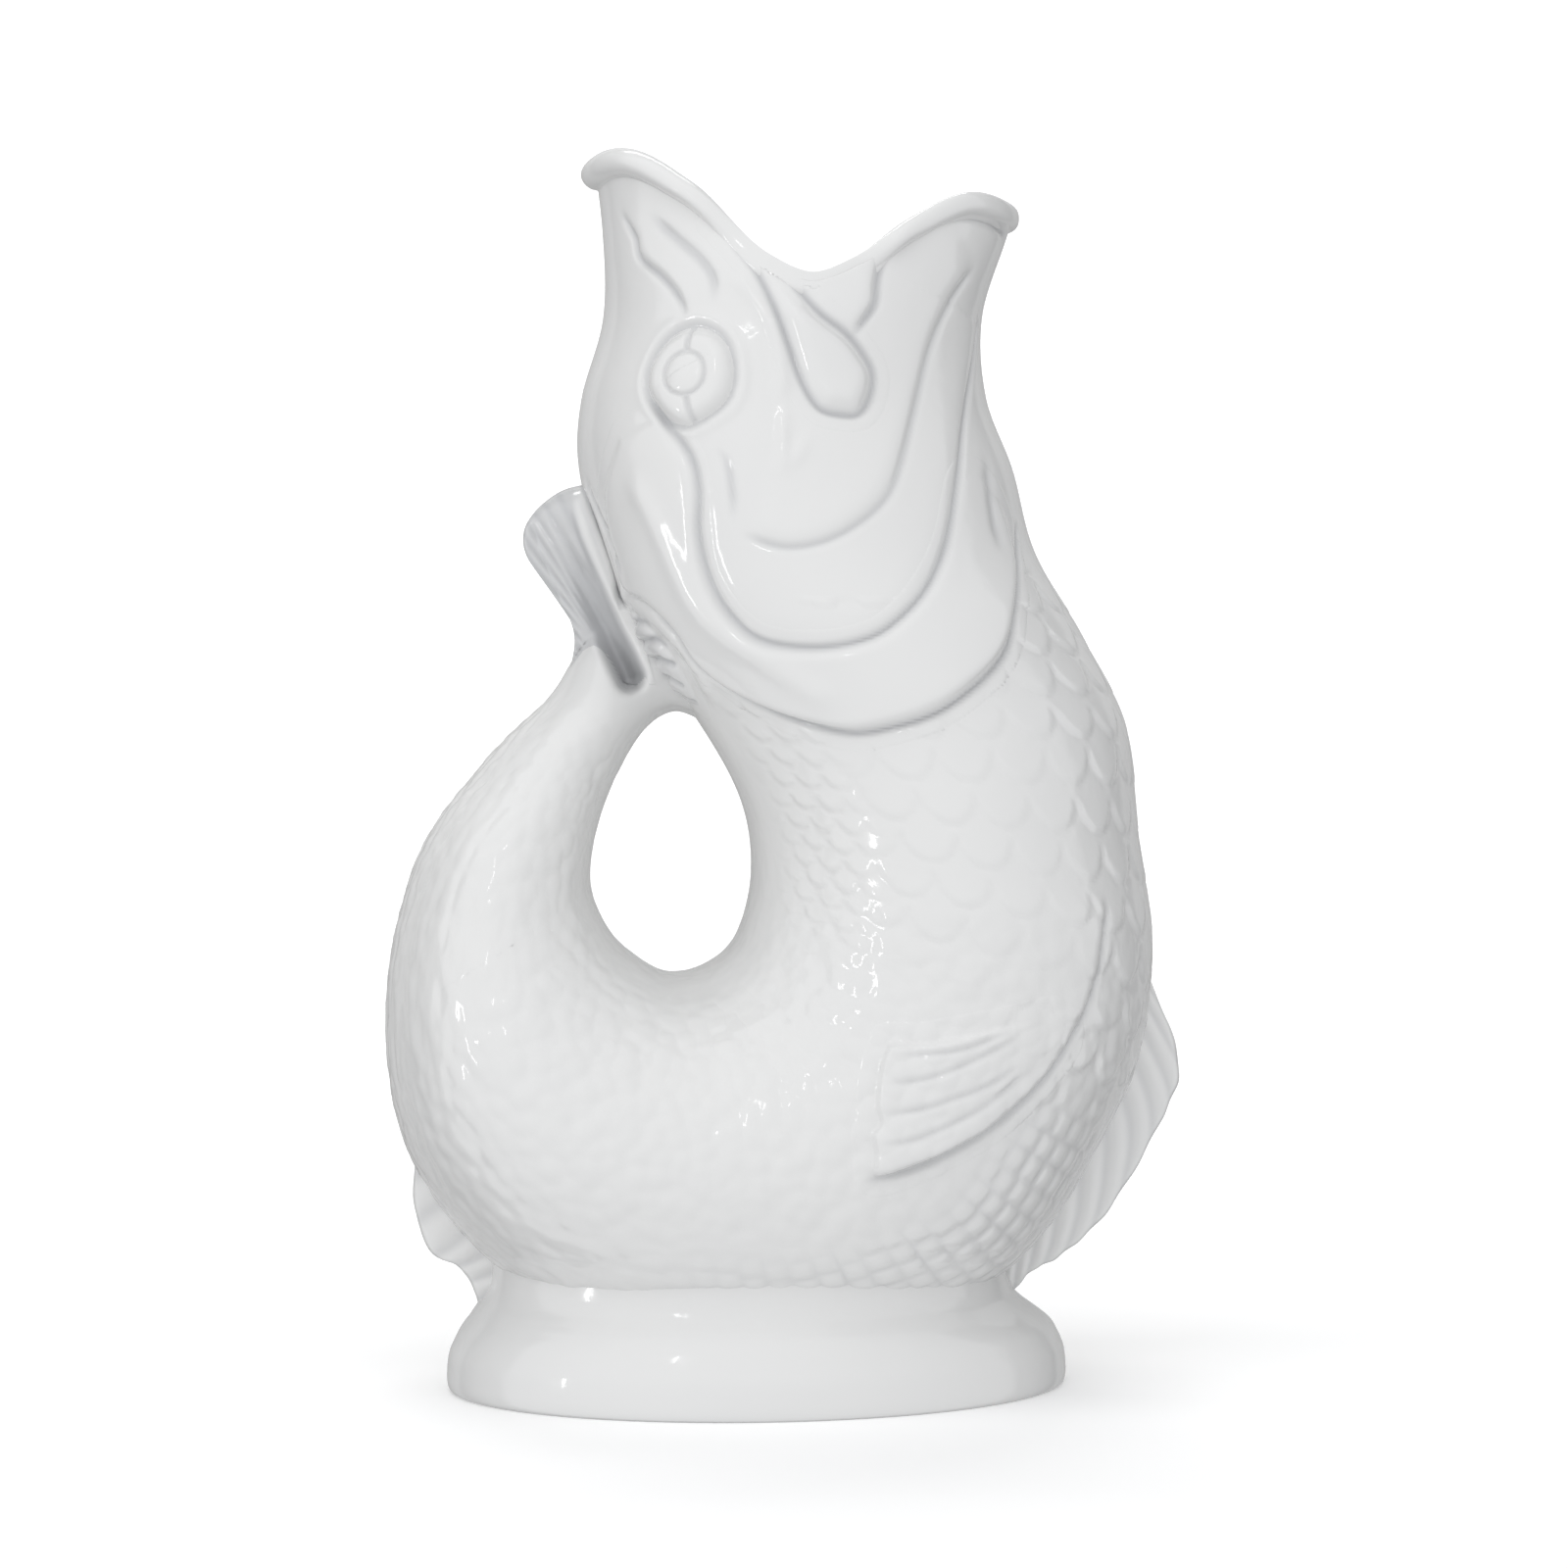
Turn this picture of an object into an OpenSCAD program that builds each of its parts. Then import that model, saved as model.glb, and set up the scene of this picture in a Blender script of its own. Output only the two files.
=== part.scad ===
// Gurgle jug: a hollow fish standing on an oval plinth, mouth up, with its tail curled up as the handle.
// The origin is the middle of the foot. +Z is up, +X points to the fish's belly, and Y = 0 is its mid-plane.

/* [Jug] */
// Height of the upper lip above the table
jug_height = 255; // [225:1:290]
// Length from the belly to the back of the tail
jug_length = 160; // [145:1:180]
// Wall of the cast shells
wall = 4.5; // [3.5:0.1:5.5]

/* [Widths across the fish] */
// Across the mouth, at the corners of the jaws
mouth_width = 61; // [54:1:70]
// Across the head, at the gill covers
head_width = 82; // [74:1:92]
// Across the body, at the belly
body_width = 104; // [96:1:114]
// Across the tail, where the hand holds it
tail_width = 60; // [50:1:68]
// Across the narrow end of the tail
tail_end_width = 27; // [22:1:32]

/* [Plinth] */
// Height of the plinth, up to the seat of the body
plinth_height = 24; // [20:1:30]
// How far the foot spreads beyond the seat
plinth_flare = 13; // [10:0.5:16]
// Depth of the hollow under the foot
foot_recess = 3; // [2:0.5:5]
// Width of the ring that stands on the table
foot_ring = 7; // [5:0.5:9]

/* [Mouth] */
// Radius of the rolled lip
lip_radius = 2.8; // [2.2:0.1:3.4]
// Height of the jaw bars above the skin
jaw_relief = 2.6; // [1.5:0.1:3.5]

/* [Head] */
// Across the ring of an eye
eye_diameter = 18; // [14:0.5:20]
// Across the iris
iris_diameter = 8.4; // [6:0.2:10]
// Height of the iris above the skin
eye_relief = 2.1; // [1.5:0.1:2.5]
// Depth of the seat that an eye is let into
eye_depth = 2; // [1.5:0.1:2.5]
// Height of the gill covers above the skin
gill_relief = 2.4; // [1.5:0.1:3.5]

/* [Fins] */
// Thickness of the standing fins at their edge
fin_edge = 2.4; // [1.8:0.1:3.5]
// Thickness of the standing fins at their root
fin_root = 6; // [4.5:0.1:8]
// Height of the ribs on the standing fins
rib_relief = 0.7; // [0.3:0.1:1.2]
// Ribs on the belly fin
belly_ribs = 8; // [5:1:10]
// Ribs on the fin under the tail
anal_ribs = 4; // [3:1:6]
// Ribs on the tail fin
tail_ribs = 6; // [4:1:8]
// Height of the fins laid on the flanks and back
flank_relief = 1.6; // [1:0.1:2.5]
// Width of the ribs on the flank fins, at their free end
rib_width = 2.8; // [2:0.1:3.6]

/* [Hidden] */

// Facets round a section, and steps from one section to the next
segments = 40;
steps = 2;
far = 400;
glaze = "whitesmoke";
$fn = 64;

// Side view. Points are in percent: x of the jug's length, z of its height above the plinth.
function place(p) = [p[0] * jug_length / 100, plinth_height + p[1] * (jug_height - plinth_height) / 100];
function outline(list) = [for (p = list) place(p)];

// A section of the vessel: its point on the fish's back, its point on the belly side, and half its width
function section(back, front, width) = concat(place(back), place(front), [width / 2]);

// Sections from above the mouth down to the belly, round under the finger hole and up to the end of the tail
sections = [
    section([-20.6, 103], [36.4, 101], 0.94 * mouth_width),
    section([-19, 93.5], [33.8, 93.5], mouth_width),
    section([-19, 85.7], [30.2, 85.7], 0.5 * (mouth_width + head_width)),
    section([-21.9, 78.4], [30.6, 78.4], 0.93 * head_width),
    section([-22.3, 72.3], [34, 71.9], head_width),
    section([-19.6, 65], [36.8, 64.5], 0.7 * head_width + 0.3 * body_width),
    section([-15.2, 57.1], [42.8, 57.1], 0.4 * head_width + 0.6 * body_width),
    section([-7, 49.4], [48.5, 48.9], 0.94 * body_width),
    section([-1.6, 42.4], [50, 39.4], 0.98 * body_width),
    section([-0.3, 35.9], [51.6, 27.7], body_width),
    section([-2.3, 30.3], [47.2, 14.7], 0.98 * body_width),
    section([-6.3, 27.7], [30.9, -0.9], 0.94 * body_width),
    section([-11.1, 27], [0, -6], 0.9 * body_width),
    section([-15.2, 28.4], [-27.8, -1.7], 0.86 * body_width),
    section([-18.9, 30.9], [-43.7, 9.5], 0.5 * body_width + 0.5 * tail_width),
    section([-21.2, 35], [-47.7, 23.4], 1.18 * tail_width),
    section([-20.4, 39.8], [-43.6, 37.2], tail_width),
    section([-17.9, 44.4], [-34.6, 46.1], 0.55 * tail_width + 0.45 * tail_end_width),
    section([-13.9, 48], [-26.5, 51.7], 0.3 * tail_width + 0.7 * tail_end_width),
    section([-10, 50.7], [-22.6, 55.8], tail_end_width),
    section([-4.5, 53.2], [-16.5, 61], 0.8 * tail_end_width)
];
// Sections at which the head meets the body, the tail begins, its hollow ends, and the tail ends
neck = 6;
tail_root = 15;
tail_hollow_end = 18;
tail_tip = 20;

// The mouth's edge in the side view, from the upper lip over the corner of the mouth to the lower lip
rim = outline([
    [-22.6, 97.4], [-18, 98.9], [-9, 95.6], [1, 89], [7.4, 87], [13.5, 88.6], [20, 92.3], [27, 94.7], [35, 94]
]);

// Smooth curve through a list, u counting its points
function spline(p, u) =
    let (
        last = len(p) - 1,
        i = max(0, min(floor(u), last - 1)),
        t = u - i,
        a = p[max(i - 1, 0)],
        b = p[i],
        c = p[i + 1],
        d = p[min(i + 2, last)]
    )
    b + 0.5 * t * ((c - a) + t * ((2 * a - 5 * b + 4 * c - d) + t * (3 * (b - c) + d - a)));
function smooth(p, parts) = [for (k = [0 : (len(p) - 1) * parts]) spline(p, k / parts)];

// Height at x on a line of points whose x rises, with a smooth slope at each
function slope(p, i) =
    let (a = p[max(i - 1, 0)], b = p[min(i + 1, len(p) - 1)])
    (b[1] - a[1]) / (b[0] - a[0]);
function stretch(p, x, i = 0) = i >= len(p) - 2 || x < p[i + 1][0] ? i : stretch(p, x, i + 1);
function height_at(p, x) =
    let (
        i = stretch(p, x),
        run = p[i + 1][0] - p[i][0],
        t = max(0, min(1, (x - p[i][0]) / run)),
        s = t * t * (3 - 2 * t)
    )
    p[i][1] + (p[i + 1][1] - p[i][1]) * s
        + run * t * (1 - t) * ((1 - t) * slope(p, i) - t * slope(p, i + 1));

// Point of the skin at section u and angle a, moved out by grow. Angle 0 is the belly side.
function skin(u, a, grow = 0) =
    let (
        s = spline(sections, u),
        back = [s[0], s[1]],
        front = [s[2], s[3]],
        reach = norm(front - back) / 2,
        p = (front + back) / 2 + (front - back) / 2 * (1 + grow / reach) * cos(a)
    )
    [p[0], (s[4] + grow) * sin(a), p[1]];
function unit(v) = v / norm(v);
function skin_up(u, a) = unit(skin(u - 0.05, a) - skin(u, a));
function skin_out(u, a) = unit(cross(skin(u, a + 1) - skin(u, a - 1), skin(u - 0.05, a) - skin(u + 0.05, a)));

// Section at which the skin meets the edge of the mouth, at angle a
function rim_section(a, low = 0, high = neck, tries = 14) =
    let (middle = (low + high) / 2, p = skin(middle, a))
    tries == 0 ? middle
    : p[2] > height_at(rim, p[0]) ? rim_section(a, middle, high, tries - 1)
    : rim_section(a, low, middle, tries - 1);

// Rings of skin from one section to another
function rings(from, to, grow = 0) =
    [for (k = [from * steps : to * steps])
        [for (i = [0 : segments - 1]) skin(k / steps, 360 * i / segments, grow)]];

function reversed(list) = [for (i = [len(list) - 1 : -1 : 0]) list[i]];

// Solid through a list of rings: joined end to start, or with its two end rings closed
module loft(list, joined = false) {
    n = len(list[0]);
    m = len(list);
    sides = [
        for (r = [0 : m - (joined ? 1 : 2)], i = [0 : n - 1])
            let (
                a = r * n + i,
                b = r * n + (i + 1) % n,
                c = ((r + 1) % m) * n + i,
                d = ((r + 1) % m) * n + (i + 1) % n
            )
            each [[a, b, c], [b, d, c]]
    ];
    ends = joined ? [] : [
        [for (i = [n - 1 : -1 : 0]) i],
        [for (i = [0 : n - 1]) (m - 1) * n + i]
    ];
    polyhedron([for (ring = list) each ring], concat(sides, ends));
}

// The vessel filled up, from above the mouth to the root of the tail, and the tail filled up
module vessel(grow = 0) {
    loft(rings(0, tail_root, grow));
}
module tail(grow = 0) {
    loft(rings(tail_root, tail_tip, grow));
}

// Sideways prism over an outline in the side view, on the right flank only or right through
module across(points, through = false) {
    translate([0, through ? far / 2 : 0, 0])
        rotate([90, 0, 0])
            linear_extrude(far / (through ? 1 : 2))
                polygon(points);
}

// A left piece is the mirror image of the right one
module left() {
    mirror([0, 1, 0])
        children();
}

module above_mouth() {
    x0 = place([-50, 0])[0];
    x1 = place([60, 0])[0];
    top = place([0, 130])[1];
    across(concat(
        [[x1, top], [x0, top]],
        [for (k = [0 : 60]) let (x = x0 + (x1 - x0) * k / 60) [x, height_at(rim, x)]]
    ), true);
}

module head_shell() {
    color(glaze)
        resize([0, 0, 0])
            difference() {
                loft(rings(0, neck));
                loft(rings(0, neck + 1, -wall));
                above_mouth();
                eye_seat();
                left()
                    eye_seat();
            }
}

module body_shell() {
    color(glaze)
        resize([0, 0, 0])
            difference() {
                loft(concat(rings(neck, tail_root), reversed(rings(neck, tail_root, -wall))), true);
                translate([-far / 2, -far / 2, plinth_height - far])
                    cube(far);
            }
}

// The tail's tip runs into the nape, so it is cut off where it meets the trunk
trunk_end = tail_root - 4;
module tail_shell() {
    color(glaze)
        resize([0, 0, 0])
            difference() {
                loft(concat(reversed(rings(tail_root, tail_hollow_end, -wall)), rings(tail_root, tail_tip)));
                loft(rings(0, trunk_end));
            }
}

// Plinth: a turned dish, narrowed across the fish to an oval. Its seat follows the body's underside.
seat_length = 0.322 * jug_length;
seat_width = 0.352 * body_width;
foot_length = seat_length + plinth_flare;
foot_inner = foot_length - 0.31 * plinth_flare - foot_ring;
floor_top = foot_recess + wall;

// Profile in shares of the flare and of the plinth's height
plinth_outside = [for (p = [
    [-0.31, 0], [-0.09, 0.05], [0, 0.19], [-0.05, 0.38], [-0.22, 0.58], [-0.5, 0.75], [-0.81, 0.88], [-1, 1]
]) [foot_length + p[0] * plinth_flare, p[1] * plinth_height]];
plinth_inside = [for (p = [[-1.1, 1], [-0.85, 0.84], [-0.52, 0.7], [-0.22, 0.54], [-0.1, 0.42]])
    [foot_length + p[0] * plinth_flare - wall, p[1] * plinth_height]];

// An oval turned from a profile
module turned(profile) {
    scale([1, seat_width / seat_length, 1])
        rotate_extrude()
            polygon(profile);
}
// The plinth filled up, which cuts the fins that end on it
module plinth_block() {
    turned(concat([[0, 0]], smooth(plinth_outside, 3), [[0, plinth_height]]));
}
module plinth() {
    color(glaze)
        difference() {
            turned(concat(
                [[0, foot_recess], [foot_inner, foot_recess], [foot_inner, -foot_recess]],
                [[foot_length - 0.31 * plinth_flare, -foot_recess]],
                smooth(plinth_outside, 3),
                smooth(plinth_inside, 2),
                [[foot_length - 0.35 * plinth_flare - wall, floor_top], [0, floor_top]]
            ));
            translate([-far / 2, -far / 2, -far])
                cube(far);
        }
}

module lip_bead() {
    loft([for (i = [0 : segments - 1])
        let (
            a = 360 * i / segments,
            u = rim_section(a),
            out = skin_out(u, a),
            up = skin_up(u, a),
            middle = skin(u, a) + 0.2 * lip_radius * out
        )
        [for (b = [0 : 45 : 315]) middle + lip_radius * (cos(b) * out + sin(b) * up)]
    ], true);
}

module lip() {
    color(glaze)
        resize([0, 0, 0])
            difference() {
                lip_bead();
                head_shell();
            }
}

// Plate laid on the right flank, standing above the skin by its relief
module plate(points, relief) {
    intersection() {
        vessel(relief);
        across(points);
    }
}

jaw_outline = outline([
    [-5.5, 92.5], [-2.6, 87.8], [-0.4, 85], [2.1, 82], [3.2, 79.3], [5.7, 76.9], [8.7, 76.3], [11.7, 76.7],
    [13.3, 79], [12.8, 80.7], [10.4, 83.2], [5.6, 86], [2.6, 88.6], [-1.5, 91.5]
]);

module jaw_bar() {
    difference() {
        plate(jaw_outline, jaw_relief);
        vessel();
        lip_bead();
        above_mouth();
    }
}
module jaw_right() {
    color(glaze)
        resize([0, 0, 0])
            jaw_bar();
}
module jaw_left() {
    left()
        jaw_right();
}

gill_outline = outline([
    [-18, 75], [-19.6, 70], [-18.6, 66], [-16.6, 61.5], [-13.6, 60.4], [-10.8, 58], [-8.4, 55.6],
    [-5.2, 53.6], [0, 51.2], [5, 49.8], [9.7, 49.2], [14.5, 49.8], [20, 51], [25.3, 53.2], [29, 55.7],
    [31, 59], [32, 63.5], [31, 68], [27.5, 71.5], [24.2, 70.6], [22.3, 66], [19.7, 62.2], [16, 59.4],
    [11.7, 57.4], [5.4, 56.6], [-1, 56.8], [-5, 59.4], [-7.8, 62.9], [-8.8, 66.7], [-9.4, 71.7],
    [-11, 74.5], [-14, 76.5]
]);

module gill_cover() {
    difference() {
        plate(gill_outline, gill_relief);
        vessel();
        tail_fan();
    }
}
module gill_cover_right() {
    color(glaze)
        resize([0, 0, 0])
            gill_cover();
}
module gill_cover_left() {
    left()
        gill_cover_right();
}

// Fins laid on the flanks: a thin web, with ribs standing twice as high
module ribbed_plate(web, ribs) {
    plate(web, flank_relief);
    for (r = ribs)
        plate(r, 2 * flank_relief);
}

pectoral_web = outline([
    [13.3, 22.6], [11.8, 16.8], [12.4, 14.5], [11.8, 10.4], [20.3, 11.8], [26.6, 14.2],
    [33.8, 19.2], [38, 23], [40.4, 28.5], [32.1, 26.1], [23.7, 23.2]
]);
// Outline of a rib from its free end to its root, where it is half as wide
function rib_outline(free_end, root, width) =
    let (a = place(free_end), b = place(root), w = [0, width / 2])
    [a + w, a - w, b - w / 2, b + w / 2];
pectoral_ribs = [for (r = [
    [[13.4, 21], [39.2, 26.6]], [[12.7, 18.6], [38.5, 24.9]],
    [[12.6, 15.9], [37, 22.9]], [[12.8, 13.2], [34, 20.2]]
]) rib_outline(r[0], r[1], rib_width)];

module pectoral_fin() {
    difference() {
        ribbed_plate(pectoral_web, pectoral_ribs);
        vessel();
    }
}
module pectoral_fin_right() {
    color(glaze)
        resize([0, 0, 0])
            pectoral_fin();
}
module pectoral_fin_left() {
    left()
        pectoral_fin_right();
}

dorsal_web = outline([
    [-16.2, 59.9], [-14.6, 56.5], [-14, 52.8], [-10.5, 50.6],
    [-7, 50.1], [-5.4, 50.4], [-8.9, 54.6], [-11.6, 57.6]
]);
dorsal_ribs = [for (r = [
    [[-14.3, 57.6], [-12.6, 57.9]], [[-13.8, 55.6], [-10.8, 56.2]], [[-13, 53.6], [-9.4, 54.2]],
    [[-11, 51.7], [-8, 52.6]]
]) rib_outline(r[0], r[1], 0.8 * rib_width)];

module dorsal_fin() {
    difference() {
        ribbed_plate(dorsal_web, dorsal_ribs);
        vessel();
        tail();
        tail_fan();
    }
}
module dorsal_fin_right() {
    color(glaze)
        resize([0, 0, 0])
            dorsal_fin();
}
module dorsal_fin_left() {
    left()
        dorsal_fin_right();
}

// Standing fin in the mid-plane, ruled from its root over a middle line to its edge, with ribs across
module standing_fin(root, middle, edge, ribs, thick_root, thick_edge) {
    along = 4 * ribs;
    span = 5;
    loft([for (k = [0 : along])
        let (
            s = k / along,
            p = spline(root, s * (len(root) - 1)),
            q = spline(middle, s * (len(middle) - 1)),
            r = spline(edge, s * (len(edge) - 1)),
            rib = 0.5 - 0.5 * cos(360 * ribs * s),
            face = [for (j = [0 : span])
                let (
                    t = j / span,
                    w = (1 - t) * (1 - 2 * t) * p + 4 * t * (1 - t) * q + t * (2 * t - 1) * r,
                    half = 0.5 * (thick_root + (thick_edge - thick_root) * t)
                        + rib_relief * rib * sin(180 * t)
                )
                [w[0], half, w[1]]]
        )
        concat(face, [for (j = [span : -1 : 0]) [face[j][0], -face[j][1], face[j][2]]])
    ]);
}

module belly_fin() {
    color(glaze)
        resize([0, 0, 0])
            difference() {
                standing_fin(
                    outline([[31, 0.4], [36, 4.6], [41, 9], [46, 16], [49, 24.4]]),
                    outline([[32.4, -1], [38.4, 3], [45, 8], [50.4, 15.5], [50.6, 25]]),
                    outline([[33.6, -2.2], [41.3, 1.4], [50, 7.8], [55.6, 17], [52, 25.6]]),
                    belly_ribs, fin_root, fin_edge
                );
                vessel();
                plinth_block();
            }
}

module anal_fin() {
    color(glaze)
        resize([0, 0, 0])
            difference() {
                standing_fin(
                    outline([[-40, 10], [-37, 6.6], [-34, 3.6], [-29, -0.6]]),
                    outline([[-42.2, 10.4], [-40.6, 6.4], [-37.6, 2.8], [-32.6, -1.4]]),
                    outline([[-44.1, 10.6], [-44.1, 6.6], [-42, 2], [-36.2, -2]]),
                    anal_ribs, fin_root, fin_edge
                );
                vessel();
                plinth_block();
            }
}

// The tail fin fans out upwards from the end of the tail, with its far side in the nape
module tail_fan() {
    standing_fin(
        outline([[-14, 55], [-19, 54.6], [-22.4, 55.4]]),
        outline([[-15.5, 62], [-21.4, 61.6], [-24.6, 60.3]]),
        outline([[-19, 70.6], [-28.2, 68.4], [-29.2, 64.2]]),
        tail_ribs, 0.6 * tail_end_width, 1.6 * fin_edge
    );
}

module tail_fin() {
    color(glaze)
        resize([0, 0, 0])
            difference() {
                tail_fan();
                vessel();
                tail();
            }
}

// Eyes: turned discs with a ring and an iris, each let into a round seat in the head
eye_section = 2.75;
eye_angle = -123;
eye_clearance = 0.1;
eye_profile = concat(
    [[0, -eye_depth], [0.5 * eye_diameter, -eye_depth]],
    [for (p = [[0.5, 0.2], [0.465, 0.57], [0.4, 0.7], [0.34, 0.52], [0.3, 0.24]])
        [p[0] * eye_diameter, p[1] * eye_relief]],
    [for (p = [[0.51, 0.24], [0.48, 0.57], [0.3, 0.9], [0, 1]])
        [p[0] * iris_diameter, p[1] * eye_relief]]
);

module at_eye() {
    out = skin_out(eye_section, eye_angle);
    translate(skin(eye_section, eye_angle))
        rotate([0, acos(out[2]), atan2(out[1], out[0])])
            children();
}
module eye_seat() {
    at_eye()
        translate([0, 0, -eye_depth])
            cylinder(h = eye_depth + eye_diameter, d = eye_diameter + 2 * eye_clearance);
}
module eye() {
    at_eye()
        rotate_extrude()
            polygon(eye_profile);
}
module eye_right() {
    color(glaze)
        eye();
}
module eye_left() {
    color(glaze)
        left()
            eye();
}

body_shell();
head_shell();
tail_shell();
plinth();
lip();
tail_fin();
dorsal_fin_left();
dorsal_fin_right();
belly_fin();
anal_fin();
pectoral_fin_left();
pectoral_fin_right();
gill_cover_left();
gill_cover_right();
jaw_left();
jaw_right();
eye_left();
eye_right();
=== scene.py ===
# %% [markdown]
# # A fish-shaped gurgle jug
# The jug is one glazed fish: mouth up as the spout, tail curled up as the handle, fins and an oval
# plinth. The solids of the imported model are the frame that every piece here has to fit. The script loads
# them first.

# %% Load the frame
import math

import bmesh
import bpy
import numpy as np
from mathutils import Matrix, Vector, noise


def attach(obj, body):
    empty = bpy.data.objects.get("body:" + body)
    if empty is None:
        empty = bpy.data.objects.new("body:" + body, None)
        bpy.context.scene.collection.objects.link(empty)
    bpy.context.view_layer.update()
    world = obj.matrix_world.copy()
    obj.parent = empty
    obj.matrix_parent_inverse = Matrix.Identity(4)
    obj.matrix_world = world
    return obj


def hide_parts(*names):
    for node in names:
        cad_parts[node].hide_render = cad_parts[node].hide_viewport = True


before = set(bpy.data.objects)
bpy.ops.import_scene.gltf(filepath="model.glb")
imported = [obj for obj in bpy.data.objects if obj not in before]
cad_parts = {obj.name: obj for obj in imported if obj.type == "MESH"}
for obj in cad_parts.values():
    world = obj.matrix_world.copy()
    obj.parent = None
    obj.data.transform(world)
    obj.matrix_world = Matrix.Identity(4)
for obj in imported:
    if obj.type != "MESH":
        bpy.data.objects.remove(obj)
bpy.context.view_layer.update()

MM = 0.001

# %% [markdown]
# ## Camera
# The jug is seen from its right side, turned a little, from slightly above its middle. A camera could be
# dragged into place in the viewport, but named numbers can be read and changed. Its axes are worked out
# one by one, so that the small lean of the picture can be added to its up direction.

# %% Camera
PICTURE_WIDTH = 1600
PIXELS_PER_MM = 4.909
SENSOR = 36
TURN = math.radians(-3.7)
LEAN = math.radians(-0.4)
DISTANCE = 850
CAMERA_HEIGHT = 146
AIM = Vector((6.4, -0.7, 125.2))
camera_point = Vector((DISTANCE * math.sin(TURN), -DISTANCE * math.cos(TURN), CAMERA_HEIGHT))
ahead = (AIM - camera_point).normalized()
right = ahead.cross(Vector((0, 0, 1))).normalized()
above = right.cross(ahead)
leaning_right = right * math.cos(LEAN) + above * math.sin(LEAN)
leaning_above = above * math.cos(LEAN) - right * math.sin(LEAN)
camera_data = bpy.data.cameras.new("camera")
camera_data.sensor_width = SENSOR
camera_data.lens = SENSOR * PIXELS_PER_MM * (AIM - camera_point).length / PICTURE_WIDTH
camera = bpy.data.objects.new("camera", camera_data)
axes = Matrix((leaning_right, leaning_above, -ahead)).transposed().to_4x4()
camera.matrix_world = Matrix.Translation(camera_point * MM) @ axes
bpy.context.scene.collection.objects.link(camera)
bpy.context.scene.camera = camera
print("lens:", round(camera_data.lens, 1), "mm")

# %% [markdown]
# ## Light
# White glaze shows its relief only where the light changes over it. The room is bright in front of the
# jug, dark at its sides and grey behind, so the glaze mirrors a bright front and goes grey towards its
# edges. A narrow window and a small lamp on the left make small sharp highlights. The wide lights only
# fill the shade: they are kept out of the reflections, where they would show as large white shapes. The
# last one whitens the backdrop.

# %% Light
ROOM_STOPS = [(0.48, (0.88, 0.885, 0.895)), (0.53, (0.03, 0.03, 0.032)),
              (0.83, (0.03, 0.03, 0.03)), (0.86, (0.5, 0.5, 0.5))]
scene = bpy.context.scene
scene.view_settings.view_transform = "Standard"
world = bpy.data.worlds.new("room")
scene.world = world
world.use_nodes = True
room_nodes = world.node_tree.nodes
room_link = world.node_tree.links.new
way = room_nodes.new("ShaderNodeTexCoord")
split = room_nodes.new("ShaderNodeSeparateXYZ")
front_to_back = room_nodes.new("ShaderNodeMapRange")
front_to_back.inputs["From Min"].default_value = -1
walls = room_nodes.new("ShaderNodeValToRGB")
stops = walls.color_ramp.elements
for number, (position, colour) in enumerate(ROOM_STOPS):
    stop = stops[number] if number < 2 else stops.new(position)
    stop.position = position
    stop.color = (*colour, 1)
room_link(way.outputs["Generated"], split.inputs["Vector"])
room_link(split.outputs["Y"], front_to_back.inputs["Value"])
room_link(front_to_back.outputs["Result"], walls.inputs["Fac"])
room_link(walls.outputs["Color"], room_nodes["Background"].inputs["Color"])


def soft_light(name, stand, size, power, target=(0, 0, 0.12), mirrored=True):
    """An area light that stands at a point in metres, turned to a target, mirrored in the glaze or not."""
    data = bpy.data.lights.new(name, "AREA")
    data.shape = "RECTANGLE"
    data.size, data.size_y = size
    data.energy = power
    light = bpy.data.objects.new(name, data)
    light.location = stand
    light.rotation_euler = (Vector(target) - Vector(stand)).to_track_quat("-Z", "Y").to_euler()
    light.visible_glossy = mirrored
    scene.collection.objects.link(light)


soft_light("window", (-1.39, -0.8, 0.17), (0.06, 0.34), 0.95)
soft_light("lamp", (-0.68, -1.45, 1.1), (0.06, 0.25), 0.5)
soft_light("ceiling", (0, -0.5, 2.0), (2.0, 2.4), 8, mirrored=False)
soft_light("fill", (-1.5, -0.5, 0.9), (1.2, 1.2), 4.5, mirrored=False)
soft_light("rear", (0, 1.1, 1.5), (1.6, 0.8), 8, mirrored=False)
soft_light("backdrop", (0, 0.9, 2.2), (1.6, 0.6), 16, target=(0, 1.7, 0.5))
print("lights:", len(bpy.data.lights))

# %% [markdown]
# ## Floor
# The jug stands on a sheet of pale paper that sweeps up behind it, so no horizon crosses the picture. A
# floor and a wall would show their corner. Here the back edge of a flat sheet is extruded in small turns
# of a quarter circle. The paper glows a little to stay white. The glaze doesn't mirror it and takes no
# light from it, so the sides of the jug stay grey.

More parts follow.
